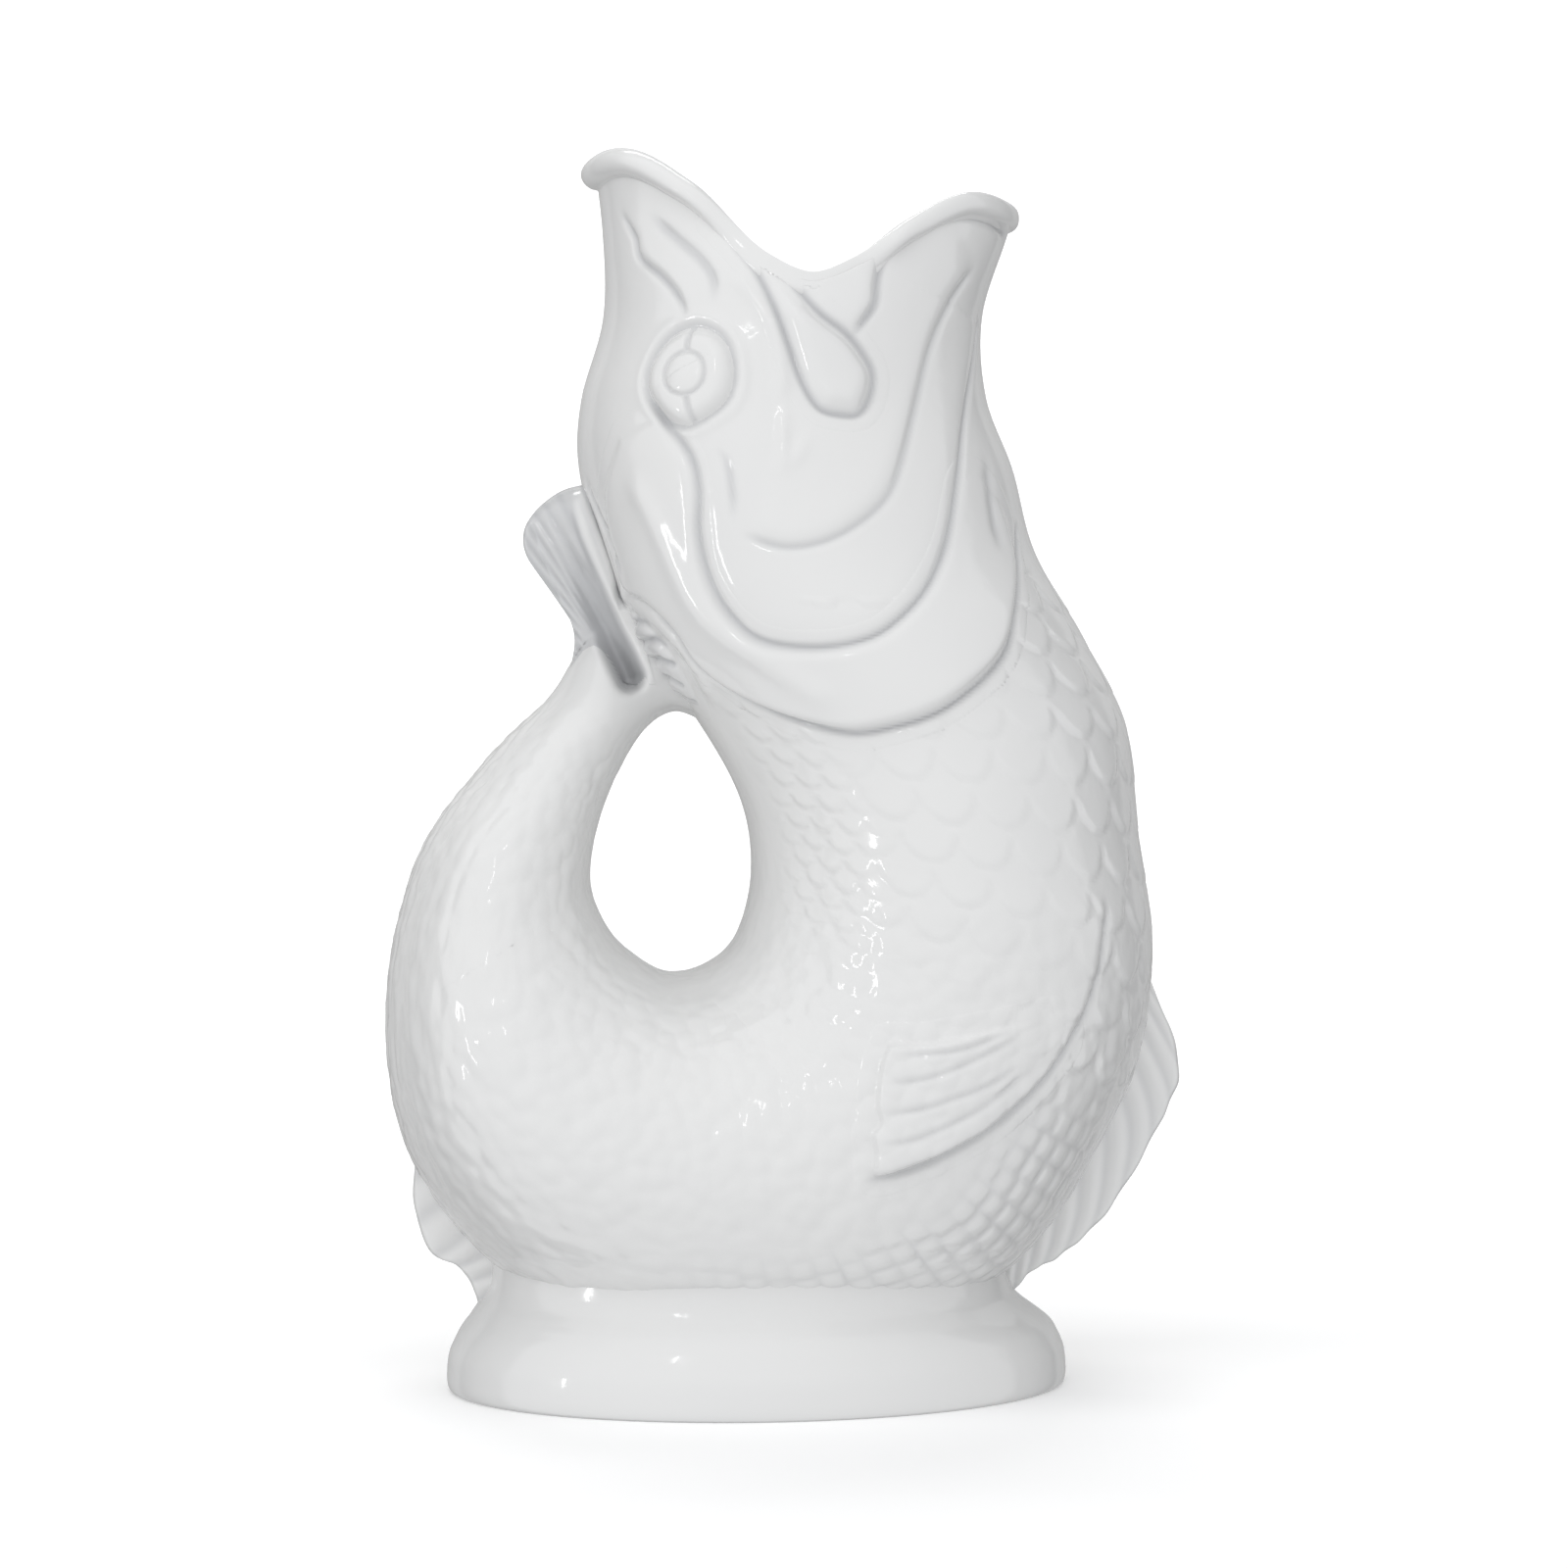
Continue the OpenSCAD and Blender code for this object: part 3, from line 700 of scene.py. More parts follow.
def cobbles(u, a, pitch, around):
    """Height from 0 to 1 of small square scales with round tops, in rows a pitch apart."""
    run = np.interp(u, path_u, path) / pitch
    column = a / (2 * math.pi) * around + 0.35 * np.sin(0.9 * np.floor(run))
    along, across = (np.abs(2 * (count - np.floor(count)) - 1) for count in (run, column))
    return (1 - along ** 3) * (1 - across ** 3)


def pebbles(places, size):
    """Low bumps of a given size, from 0 to 1."""
    flat = places.reshape(-1, 3) / size
    gaps = np.array([noise.voronoi(p)[0][0] for p in flat.tolist()])
    return np.clip(1 - gaps ** 2 / 0.6, 0, 1).reshape(places.shape[:-1])


print("flank from mouth to tail tip:", round(float(path[-1])), "mm")

# %% [markdown]
# ## Relief of the lines
# Head, body, gill covers and fins are separate pieces of one skin. All take their height from the same
# functions, so two pieces that meet have the same surface there and no seam shows. The lines come first:
# each adds its groove and its shelf. Two of them also part the skin, the gill's edge above the trunk and
# the flank's edge above the belly.

# %% Relief of the lines
LINE_FADE = 7


def line_relief(u, flank):
    """Height and groove depth that the lines give, and whether places lie below gill and flank edges."""
    height = np.zeros(u.shape)
    hollow = np.zeros(u.shape)
    below = {"gill_edge": u > NECK - 0.4, "flank_edge": u > 9.5}
    for name, (_, depth, width, shelf, rise, run) in LINES.items():
        distance, side, ends = near(pinned[name], flank)
        fade = smooth_step(ends / LINE_FADE)
        cut = depth * bell(distance, width) * fade
        height += shoulder(distance, shelf, rise) * np.exp(-distance / run) * fade * (side > 0) - cut
        # Painted shade: each groove's depth darkens the glaze.
        hollow += np.maximum(cut, 0)
        if name in below:
            past = smooth_step(-side * (distance - 0.6) / 3)
            below[name] = np.where(distance < REACH, past, below[name])
    return height, hollow, below


print("deepest groove:", max(depth for _, depth, *_ in LINES.values()), "mm")

# %% [markdown]
# ## Relief of the skin
# To the lines come the ring round the eye, then scales and pebbles, each on its own stretch of slices and
# angles: big scales on the flank, small ones behind, square ones low on the belly, and pebbles on the
# bowl and the tail. Soft ramps let one kind fade into the next, as a carver would.

# %% Relief of the skin
BIG_SCALES, SMALL_SCALES = (9.5, 23, 0.2), (5.6, 38, 0.35)
COBBLES = (4.9, 50)
PEBBLE = 3.6
BELLY_ANGLE = 1.22


def relief(u, a, places):
    """Height of the carved skin above the plain one in mm, and how deep in a groove it is, from 0 to 1,
    which sets its painted shade.
    """
    a = -np.abs(a)
    height, hollow, below = line_relief(u, right_flank(places))
    r, direction = around_eye(u, a)
    past_socket = r - socket(direction)
    ring = bell(past_socket, 0.9)
    rim = bell(past_socket - 2.0, 1.1) * (0.6 + 0.4 * np.cos(direction))
    height += 0.55 * rim - 0.8 * ring
    # The eye's ring groove gets painted shade.
    hollow += 0.7 * ring

    on_trunk = ramp(u, NECK - 0.9, 0.4) * below["gill_edge"]
    under = below["flank_edge"] * (u > 8)
    belly = ramp(a, -BELLY_ANGLE, 0.3)
    low = under * belly * ramp(u, 9.8, 0.6) * (1 - ramp(u, 11.9, 0.9))
    upper = (1 - ramp(u, 8.8, 1.8)) * (1 - under) + under * belly * (1 - low)
    upper *= 1 - ramp(u, 10, 0.8)
    behind = ramp(-a, 1.9, 0.4)
    margin = (1 - ramp(-a, 2.45, 0.3)) * (0.3 + 0.7 * ramp(-a, 0.25, 0.35))
    flank_size = 0.5 + 0.4 * ramp(a, -1.25, 0.5)
    scaled = on_trunk * upper * margin
    height += scaled * (1 - behind) * flank_size * (scales(u, a, *BIG_SCALES) - 0.4)
    height += scaled * behind * 0.9 * (scales(u, a, *SMALL_SCALES) - 0.4)
    stones = cobbles(u, a, *COBBLES)
    height += on_trunk * low * margin * 0.6 * (stones - 0.6)
    # Painted shade in the gaps between the cobbles.
    hollow += 0.3 * on_trunk * low * (1 - stones) ** 2
    bumps = ramp(u, 8.2, 1.6) * (1 - ramp(u, 17, 1.5)) * (1 - low)
    height += 0.4 * bumps * (1 - 0.8 * ramp(-a, 2.4, 0.4)) * pebbles(places, PEBBLE)
    return height, np.clip(hollow, 0, 1)


def carved(u, a, lift):
    """Points of the carved skin, lifted by so many mm, and how deep in a groove they lie."""
    places = skin(u, a)
    height, hollow = relief(u, a, places)
    return places + (height + lift)[..., None] * outward(u, a), hollow


sample_u, sample_a = np.meshgrid(np.linspace(1, FLANK_END, 60), np.linspace(-3, 0, 40), indexing="ij")
sample = relief(sample_u, sample_a, skin(sample_u, sample_a))[0]
print("relief from", round(float(sample.min()), 2), "to", round(float(sample.max()), 2), "mm")

# %% [markdown]
# ## Edge of the mouth
# The mouth is cut by a wavy edge: high at the upper lip, lower at the corners, up again at the lower lip.
# A Boolean cut would leave ragged faces there. Instead the edge is a line in the side view, and for each
# angle the slice is found at which the skin meets it, so that the net can simply start there.

# %% Edge of the mouth
RIM = np.array([place(x, z) for x, z in [
    (-22.6, 97.4), (-18, 98.9), (-9, 95.6), (0.4, 89.3), (6.3, 87.5), (12.7, 89), (20, 92.3), (27, 94.7),
    (35, 94)]])
HEAD_COLUMNS = 440


def rim_height(x):
    """Height of the mouth's edge at x, smooth from point to point."""
    slope = np.gradient(RIM[:, 1], RIM[:, 0])
    i = np.clip(np.searchsorted(RIM[:, 0], x) - 1, 0, len(RIM) - 2)
    run = RIM[i + 1, 0] - RIM[i, 0]
    t = np.clip((x - RIM[i, 0]) / run, 0, 1)
    bend = run * t * (1 - t) * ((1 - t) * slope[i] - t * slope[i + 1])
    return RIM[i, 1] + (RIM[i + 1, 1] - RIM[i, 1]) * smooth_step(t) + bend


def rim_slice(a):
    """Slice at which the skin meets the mouth's edge, found by halving."""
    low, high = np.zeros(a.shape), np.full(a.shape, float(NECK))
    for _ in range(24):
        middle = (low + high) / 2
        point = skin(middle, a)
        over = point[..., 2] > rim_height(point[..., 0])
        low, high = np.where(over, middle, low), np.where(over, high, middle)
    return low


head_angles = np.linspace(-math.pi, math.pi, HEAD_COLUMNS + 1)
rim_u = rim_slice(head_angles)
rim_point = skin(rim_u, head_angles)
print("mouth's edge from", rim_point[:, 2].min().round(1), "to", rim_point[:, 2].max().round(1), "mm high")

# %% [markdown]
# ## Head
# Head, body and tail are hollow tubes: an outer skin with the relief, and an inner wall a wall's
# thickness further in. They share rows of the net where they meet, and each runs a little way under the
# next, sinking slowly, so that the glaze seems to flow over the joint. The head has the finest net, as it
# has the finest lines.

# %% Head
JOINT, JOINT_STEP = 0.4, 0.04
HEAD_ROWS = 160
joint_rows = np.arange(NECK - JOINT, NECK + JOINT + JOINT_STEP / 4, JOINT_STEP)


def sunk(u, start, way):
    """How far a tube's end sinks under its neighbour, in mm, past its joint."""
    return 9 * np.clip(way * (u - start), 0, None) ** 2


def tube(name, node, outer, hollow, inner):
    """A hollow piece from the carved skin and its inner wall, closed at both ends."""
    net = np.concatenate([outer, inner, outer[:1]])
    deep = np.concatenate([hollow, np.zeros(inner.shape[:2]), hollow[:1]])
    finish_piece(form(net, deep), name, node)


down = np.linspace(0, 1, HEAD_ROWS)[:-1, None]
head_u = np.vstack([rim_u + (joint_rows[0] - rim_u) * down,
                    np.repeat(joint_rows[:, None], len(head_angles), 1)])
head_a = np.broadcast_to(head_angles, head_u.shape)
head_out, hollow = carved(head_u, head_a, -(sunk(head_u, NECK, 1) + bed(head_u, head_a)))
inner_u = joint_rows[-1] + (rim_u - joint_rows[-1]) * np.linspace(0, 1, 16)[:, None]
head_in = skin(inner_u, np.broadcast_to(head_angles, inner_u.shape), -WALL)
tube("head", "head_shell", head_out, hollow, head_in)

# %% [markdown]
# ## Body
# The trunk and the bowl under the finger hole are one piece, which carries the scales. One row of faces
# per slice would be coarse in the trunk and crowded in the bowl, so the rows are set an even way apart
# along the flank, closer where scales are cut.

# %% Body
COLUMNS = 300
TRUNK_END = 11.8
TRUNK_SPACING, BOWL_SPACING = 0.85, 1.3
ROW_ANGLE = -0.8


def even_rows(low, high, spacing):
    """Slices between two others, a spacing apart along the flank."""
    u = np.linspace(low, high, 600)
    run = walked(skin(u, np.full(len(u), ROW_ANGLE)))
    return np.interp(np.linspace(0, run[-1], int(run[-1] / spacing)), run, u)


angles = np.linspace(-math.pi, math.pi, COLUMNS + 1)
trunk_rows = even_rows(NECK + JOINT + JOINT_STEP, TRUNK_END, TRUNK_SPACING)
bowl_rows = even_rows(TRUNK_END + 0.05, TAIL_ROOT - JOINT - JOINT_STEP, BOWL_SPACING)
root_rows = np.arange(TAIL_ROOT - JOINT, TAIL_ROOT + JOINT + JOINT_STEP / 4, 2 * JOINT_STEP)
body_rows = np.concatenate([joint_rows, trunk_rows, bowl_rows, root_rows])
body_u, body_a = np.meshgrid(body_rows, angles, indexing="ij")
body_sunk = sunk(body_u, NECK, -1) + sunk(body_u, TAIL_ROOT, 1)
body_out, hollow = carved(body_u, body_a, -(body_sunk + bed(body_u, body_a)))
inner_u, inner_a = np.meshgrid(np.linspace(body_rows[-1], body_rows[0], 18), angles, indexing="ij")
tube("body", "body_shell", body_out, hollow, skin(inner_u, inner_a, -WALL))

# %% [markdown]
# ## Tail
# The tail is the handle and the chamber whose trapped air gurgles, so its hollow ends blind before the
# tip. Near the tip a deep fold parts the tail from its fan. It is made by pressing the skin towards the
# mid-plane along a line, as a thumb would in soft clay.

# %% Tail
TAIL_HOLLOW_END = 18
TAIL_ROWS = 90


def mid_plane(points):
    """Points of the side view, put into the jug's mid-plane."""
    points = np.asarray(points, float)
    return np.stack([points[..., 0], 0 * points[..., 0], points[..., 1]], -1)


POCKET = mid_plane([(-40.2, 180.6), (-36.6, 170.8), (-33.1, 162.5), (-29.9, 156.3), (-27.7, 151.5),
                    (-25.8, 147.4)])


def pocket_share(points):
    """Share of the tail's thickness that is left by the fold, at points of the side view."""
    distance, _, _ = near(POCKET, mid_plane(points))
    return 1 - 0.93 * np.exp(-(distance / 2.5) ** 3)


tail_start = TAIL_ROOT + JOINT + 2 * JOINT_STEP
tail_rows = np.concatenate([root_rows, np.linspace(tail_start, TAIL_TIP, TAIL_ROWS)])
tail_u, tail_a = np.meshgrid(tail_rows, angles, indexing="ij")
tail_out, hollow = carved(tail_u, tail_a, -sunk(tail_u, TAIL_ROOT, -1))
left_by_fold = pocket_share(tail_out[..., [0, 2]])
tail_out[..., 1] *= left_by_fold
# Painted shade in the fold.
hollow = np.maximum(hollow, 0.9 - left_by_fold)
inner_u, inner_a = np.meshgrid(np.linspace(tail_rows[0], TAIL_HOLLOW_END, 16), angles, indexing="ij")
tail_in = skin(inner_u, inner_a, -WALL)
tip = np.broadcast_to(tail_out[-1].mean(0), tail_out[:1].shape)
blind_end = np.broadcast_to(tail_in[-1].mean(0), tail_in[:1].shape)
net = np.concatenate([tip, tail_out[::-1], tail_in, blind_end])
deep = np.concatenate([hollow[:1] * 0, hollow[::-1], np.zeros(inner_u.shape), hollow[:1] * 0])
finish_piece(form(net, deep), "tail", "tail_shell")

# %% [markdown]
# ## Lip
# The mouth's edge is rolled. A rounded section is carried round the rim: fat at the upper lip, slimmer at
# the lower lip, and nearly flat at the corners of the mouth, where the edge melts into the web between
# the jaws. A bevelled curve could do this with one even section only, so the section is moved along the
# rim.

# %% Lip
LIP_SECTION = np.array([
    (-0.8, -5), (0.1, -3.3), (1.4, -2.7), (2.5, -1.7), (3.1, -0.4), (3.0, 0.9), (2.1, 2.1), (0.7, 2.75),
    (-1, 2.6), (-2.6, 1.9), (-4, 0.8), (-4.8, -1), (-4.9, -3.5), (-4.3, -5.5), (-2.4, -6)])
LIP_POINTS = 45
closed_section = np.vstack([LIP_SECTION[-1:], LIP_SECTION, LIP_SECTION[:2]])
section = curve(closed_section, np.linspace(1, len(LIP_SECTION) + 1, LIP_POINTS))
section_out, section_up = section[:, :1], section[:, 1:]
rim_out = outward(rim_u, head_angles)
rim_along = np.roll(rim_point[:-1], -1, 0) - np.roll(rim_point[:-1], 1, 0)
rim_along = np.vstack([rim_along, rim_along[:1]])
rim_up = np.cross(rim_along, rim_out)
rim_up /= np.linalg.norm(rim_up, axis=1, keepdims=True)
rim_up *= np.sign(rim_up[:, 2:3])
rim_x = rim_point[:, 0]
corner = ramp(rim_x, -15, 13) * smooth_step((31 - rim_x) / 12)
lower = ramp(rim_x, place(14, 0)[0], 16)
slim = ramp(rim_x, -34, 26)
out_share = np.where(section_out > 0, 1 - np.maximum(0.93 * corner, 0.5 * lower), 1)
up_share = np.where(section_up > 0, 1 - 0.25 * corner, 1 - 0.42 * slim)
net = (rim_point + (section_out * out_share)[..., None] * rim_out
       + (section_up * up_share)[..., None] * rim_up)
finish_piece(form(net, np.zeros(net.shape[:2])), "rolled_lip", "lip")

# %% [markdown]
# ## Plates laid on the skin
# Gill covers, jaw bars and side fins are plates: they rise from a groove at their outline to a rounded
# shoulder. A net that is finer than the head's covers the plate's part of the skin, what lies outside the
# outline is cut away, and a lining makes it a closed solid. The outline itself dips under the skin, so
# the cut edge never shows. The jaw bars at the corners of the mouth are the simplest: only a shoulder.

# %% Plates and jaw bars
PLATE_LINING = 1.6
PLATE_CUT = OVERLAP + 1.9
PLATE_LIFT = 0.06
RIM_GAP = 0.06
FLANKS = (("right", 1), ("left", -1))


def plate_net(name, spacing):
    """Slices and angles that cover a plate on the right flank, with the depth inside its outline."""
    u, a = np.meshgrid(np.linspace(0, FLANK_END, 300), np.linspace(-math.pi, 0, 200), indexing="ij")
    hit = depth_inside(name, skin(u, a)) > -PLATE_CUT - 1
    u_range = u[hit].min() - 0.05, u[hit].max() + 0.05
    a_range = max(a[hit].min() - 0.03, 0.1 - math.pi), min(a[hit].max() + 0.03, 0)
    middle_u, middle_a = sum(u_range) / 2, sum(a_range) / 2
    tall = strides(skin(np.linspace(*u_range, 20), np.full(20, middle_a))).sum()
    wide = strides(skin(np.full(20, middle_u), np.linspace(*a_range, 20))).sum()
    rows = np.linspace(*u_range, int(tall / spacing))
    columns = np.linspace(*a_range, int(wide / spacing))
    u, a = np.meshgrid(rows, columns, indexing="ij")
    places = skin(u, a)
    return u, a, places, depth_inside(name, places)


def plate_pair(title, name, shape, spacing=0.6):
    """A plate on each flank. Shape gives its height and its pooled glaze and painted shade from places and
    depths inside.
    """
    u, a, places, depth = plate_net(name, spacing)
    below_rim = u - rim_slice(a)
    risen, pooled_and_shaded = shape(places, np.maximum(depth, 0))
    risen = risen * ramp(below_rim, RIM_GAP, 0.45)
    dip = 0.2 * np.clip(-OVERLAP - 0.4 - depth, 0, None) ** 2
    net, hollow = carved(u, a, risen + PLATE_LIFT - dip)
    kept = (depth > -PLATE_CUT) & (below_rim > RIM_GAP)
    for side, flip in FLANKS:
        # Painted shade: the skin's hollow and the plate's own shade darken the glaze.
        bm = form(net * (1, flip, 1), np.clip(hollow + pooled_and_shaded, 0, 1), kept, PLATE_LINING)
        finish_piece(bm, f"{title}_{side}", f"{name}_{side}")


def jaw_shape(places, depth):
    """An even shoulder, without grooves."""
    return shoulder(depth, 2.1, 2.2), 0 * depth


plate_pair("jaw_bar", "jaw", jaw_shape, 0.5)

# %% [markdown]
# ## Gill covers
# A gill cover is a wide plate that stands highest along its free lower edge and lies nearly flat at the
# throat. It has the same shoulder as the jaw bar, times a height that falls off away from that edge.

# %% Gill covers
def gill_shape(places, depth):
    """High along the gill's edge, low at the throat."""
    to_edge = near(pinned["gill_edge"], places)[0]
    throat = ramp(places[..., 2], 158, 24) * ramp(places[..., 0], 20, 15)
    top = (0.5 + 1.7 * bell(to_edge, 16)) * (1 - 0.85 * throat)
    return shoulder(depth, 1, 1.3) * top, 0 * depth


plate_pair("gill_plate", "gill_cover", gill_shape)

# %% [markdown]
# ## Side fins
# Two more pairs of plates: a fin with four rays on each flank, and a short ribbed one on each side of the
# nape. The rays are parted by grooves, drawn as lines like those of the face. A texture could fake them,
# but cut grooves catch the light. They are painted greyer, partly for glaze that gathers there and partly
# as painted shade.

# %% Side fins
PECTORAL_GROOVES = [
    [(24, 72.6), (35.3, 73.8), (41.8, 75.7), (49, 78.4)],
    [(21, 67.3), (28.8, 68.1), (35.3, 70.2), (42.7, 73.5), (50, 77)],
    [(20.6, 61.1), (28.8, 62.4), (35.3, 64.5), (42.8, 67.3), (50, 71.5)],
    [(19.6, 55.4), (26.7, 56.3), (33.2, 58.8), (40.2, 62.2), (46.4, 66.3), (51.8, 70.5)],
]
DORSAL_GROOVES = [
    [(-24.9, 158.2), (-23.2, 159.4), (-21, 158)],
    [(-23.6, 154.6), (-20.8, 155.6), (-18, 153.6)],
    [(-21.9, 151), (-19, 151.8), (-16.2, 149.8)],
    [(-20.6, 147.4), (-17.6, 148.2), (-14.2, 146)],
    [(-17, 144.2), (-15, 144.6), (-12, 142.4)],
]


def ray_grooves(grooves, places, width, fade):
    """Grooves between the rays, 1 at their middle, of a half width and with a fade at their ends."""
    cut = np.zeros(places.shape[:-1])
    for groove in grooves:
        distance, _, ends = near(pin(groove), places)
        cut += bell(distance, width) * smooth_step(ends / fade)
    return cut


def pectoral_shape(places, depth):
    """Four rays that flatten out towards the belly."""
    cut = ray_grooves(PECTORAL_GROOVES, places, 0.65, 8)
    top = shoulder(depth, 1.5, 1.0) * (1 - ramp(places[..., 0], 34, 22))
    # The grooves between the rays get painted shade.
    return np.maximum(top - 0.6 * cut, -0.3) * smooth_step(depth / 1.5), 0.25 * cut


def dorsal_shape(places, depth):
    """Short steep ribs, with pooled glaze and painted shade between them, and painted shade over the whole
    fin.
    """
    cut = ray_grooves(DORSAL_GROOVES, places, 0.8, 1.5)
    # Painted shade: darker between the ribs and over the whole fin.
    pooled_and_shaded = 0.7 * cut + 0.3 * smooth_step(depth / 1.5)
    return np.maximum(shoulder(depth, 1.3, 1.2) - 1.1 * cut, 0.03 * depth), pooled_and_shaded


plate_pair("side_fin", "pectoral_fin", pectoral_shape, 0.45)
plate_pair("nape_fin", "dorsal_fin", dorsal_shape, 0.4)

# %% [markdown]
# ## Eyes
# An eye is a low dome in its socket, with a round iris and a slit above and below it. A ball would stand
# out too far. Rings round the eye's middle make a net that closes to a point in the centre, and the left
# eye mirrors the right one.

# %% Eyes
EYE_RINGS, EYE_SPOKES = 48, 120
EYE_LINING = 1.6
IRIS = 4.4
SLIT_TURNS = (math.radians(97), math.radians(-79))
spoke = np.linspace(-math.pi, math.pi, EYE_SPOKES + 1)
share, direction = np.meshgrid(np.linspace(0, 1.06, EYE_RINGS), spoke, indexing="ij")
r = share * socket(direction)
steps = np.stack([r * np.cos(direction), r * np.sin(direction)], -1) @ np.linalg.inv(eye_map).T
eye_u, eye_a = EYE_U + steps[..., 1], EYE_A + steps[..., 0]
dome = shoulder((1 - np.minimum(share, 1)) * 9.3, 1.5, 1.7)
iris_cut = 0.5 * bell(r - IRIS, 0.45)
iris_top = 0.7 * np.clip(1 - (r / IRIS) ** 2, 0, 1)
slits = np.zeros(r.shape)
for turn in SLIT_TURNS:
    off = r * np.sin(direction - turn)
    on = (np.cos(direction - turn) > 0) * ramp(r, IRIS, 0.8) * smooth_step((1.02 - share) / 0.1)
    slits += 0.7 * bell(off, 0.55) * on
eye_net, _ = carved(eye_u, eye_a, dome + iris_top - iris_cut - slits - 4 * np.clip(share - 1, 0, 1))
# Painted shade in the iris groove and the slits.
eye_hollow = np.clip(0.8 * (iris_cut + slits), 0, 1)
for side, flip in FLANKS:
    bm = form(eye_net * (1, flip, 1), eye_hollow, lining=EYE_LINING)
    finish_piece(bm, f"fish_eye_{side}", f"eye_{side}")

# %% [markdown]
# ## Standing fins
# Three fins stand in the jug's mid-plane. Each is a blade ruled from its root over a middle line to its
# edge. Going round the blade's section and along the blade makes the net, and the thickness goes to
# nothing at both ends, so that the net closes there. Solidify could thicken a flat sheet too, but only
# evenly.

# %% Standing fins
def ruled(root, middle, edge, stations, span):
    """Side view of a fin ruled from root over middle to edge, with the shares along it and across it."""
    s, t = np.meshgrid(np.linspace(0, 1, stations), np.linspace(0, 1, span), indexing="ij")
    lines = [curve(line, s * (len(line) - 1)) for line in (root, middle, edge)]
    weights = ((1 - t) * (1 - 2 * t), 4 * t * (1 - t), t * (2 * t - 1))
    return sum(w[..., None] * line for w, line in zip(weights, lines)), s, t


def blade(name, node, face, half, hollow):
    """A fin in the mid-plane from its side view and half its thickness, which is nothing at its rim."""
    near_face = np.stack([face[..., 0], -half, face[..., 1]], -1)
    far_face = near_face * (1, -1, 1)
    net = np.concatenate([near_face, far_face[:, ::-1], near_face[:, :1]], 1)
    deep = np.concatenate([hollow, hollow[:, ::-1], hollow[:, :1]], 1)
    finish_piece(form(net, np.clip(deep, 0, 1)), name, node)


def rounded(s, t, start=0.9):
    """Share of the thickness: round towards the edge and at both ends."""
    edge = np.sqrt(np.clip(1 - np.clip((t - start) / (1 - start), 0, 1) ** 2, 0, 1))
    return edge * np.sqrt(np.clip(np.sin(math.pi * s) / 0.25, 0, 1))


print("thickness left near the edge:", round(float(rounded(0.5, 0.98)), 2))

# %% [markdown]
# ## Low fins
# The fin in front of the belly and the one under the tail are thick at the root and ribbed like a fan.
# The ribs are waves in the thickness, and at the edge they also push the outline in and out. The three
# lines of the side view, root, middle and edge, are most of what differs between the two.

# %% Low fins
FIN_STATIONS, FIN_SPAN = 200, 40
ROOT_HALF, EDGE_HALF, RIB = 3.0, 1.3, 0.5


def ribbed_fin(name, node, root, middle, edge, ribs, lean, wave):
    """A ribbed fin: lean is how far the ribs lean along the fin, wave how much they show at its edge."""
    lines = [[place(*point) for point in line] for line in (root, middle, edge)]
    face, s, t = ruled(*lines, FIN_STATIONS, FIN_SPAN)
    ridge = 0.5 - 0.5 * np.cos(2 * math.pi * ribs * (s - lean * t))
    face += (wave * ridge * t ** 3)[..., None] * np.gradient(face, axis=1) / 0.7
    half = ROOT_HALF - (ROOT_HALF - EDGE_HALF) * t + RIB * (ridge - 0.5) * np.sin(math.pi * t) ** 0.6
    # Painted shade between the ribs.
    blade(name, node, face, half * rounded(s, t), 0.4 * (1 - ridge) ** 3)


ribbed_fin("front_fin", "belly_fin",
           [(30, -1.5), (32, 1), (35, 4), (39, 7.8), (44, 13.5), (46.8, 19), (48.4, 24.4)],
           [(31.6, -1.9), (34, 0.2), (37.8, 2.4), (43.2, 6.3), (48.8, 12.8), (51.4, 18.6), (50.6, 25)],
           [(33.4, -2.6), (36, -0.6), (40.2, 1), (46.2, 4.9), (52.7, 12.3), (55.6, 18.1), (52, 25.6)],
           ribs=10, lean=-0.26, wave=0.9)
ribbed_fin("under_tail_fin", "anal_fin",
           [(-39, 10), (-37.5, 7), (-35, 4), (-32.5, 1.6), (-31, -0.6), (-30.5, -3)],
           [(-42.2, 10.4), (-41.2, 6.7), (-38.8, 2.8), (-35.8, 1.1), (-34.2, -0.7), (-33.4, -2.7)],
           [(-44.1, 10.6), (-44.4, 6.6), (-42.4, 2.2), (-38.9, 0.8), (-37.1, -0.8), (-36.2, -2.6)],
           ribs=6, lean=0.1, wave=0.2)

# %% [markdown]
# ## Leaf of the tail fan
# The tail ends in a fan that leans on the nape. It is a leaf with fine ribs, thin on the left and thick
# beyond a border on the right, which falls off again past a crease. The leaf's thickness is worked out
# point by point from the distances to these lines, which is easier to steer than moving points by hand.

# %% Leaf of the tail fan
FAN_ROOT = [(-20.5, 146), (-25, 146), (-28, 147), (-31, 147), (-34, 144.5), (-40, 140.5)]
FAN_EDGE = [(-31.5, 188), (-38.4, 186.6), (-43.4, 183.4), (-46.6, 179.4), (-47.3, 175.6), (-46.2, 172),
            (-43.9, 169), (-40.7, 165.2), (-38.3, 161), (-36.9, 156.4), (-37.2, 152.2), (-38.6, 148.4),
            (-42.4, 143.2)]
FAN_BORDER = mid_plane([(-37, 186), (-36.6, 181.5), (-35.4, 176.4), (-32.3, 169.1), (-29.4, 161.9),
                        (-27.2, 156.8), (-24.3, 152.4), (-22.7, 148)])
FAN_CREASE = mid_plane([(-36.5, 190), (-34.8, 185.6), (-33.4, 181.9), (-32.1, 178.9), (-30.6, 175.3),
                        (-29.2, 171.3), (-28.3, 167.4), (-28, 163)])
FAN_PIVOT = (-20, 140)
FAN_RIB = 3.2
BORDER_HALF, CREASE_FALL = 9.5, 5.5


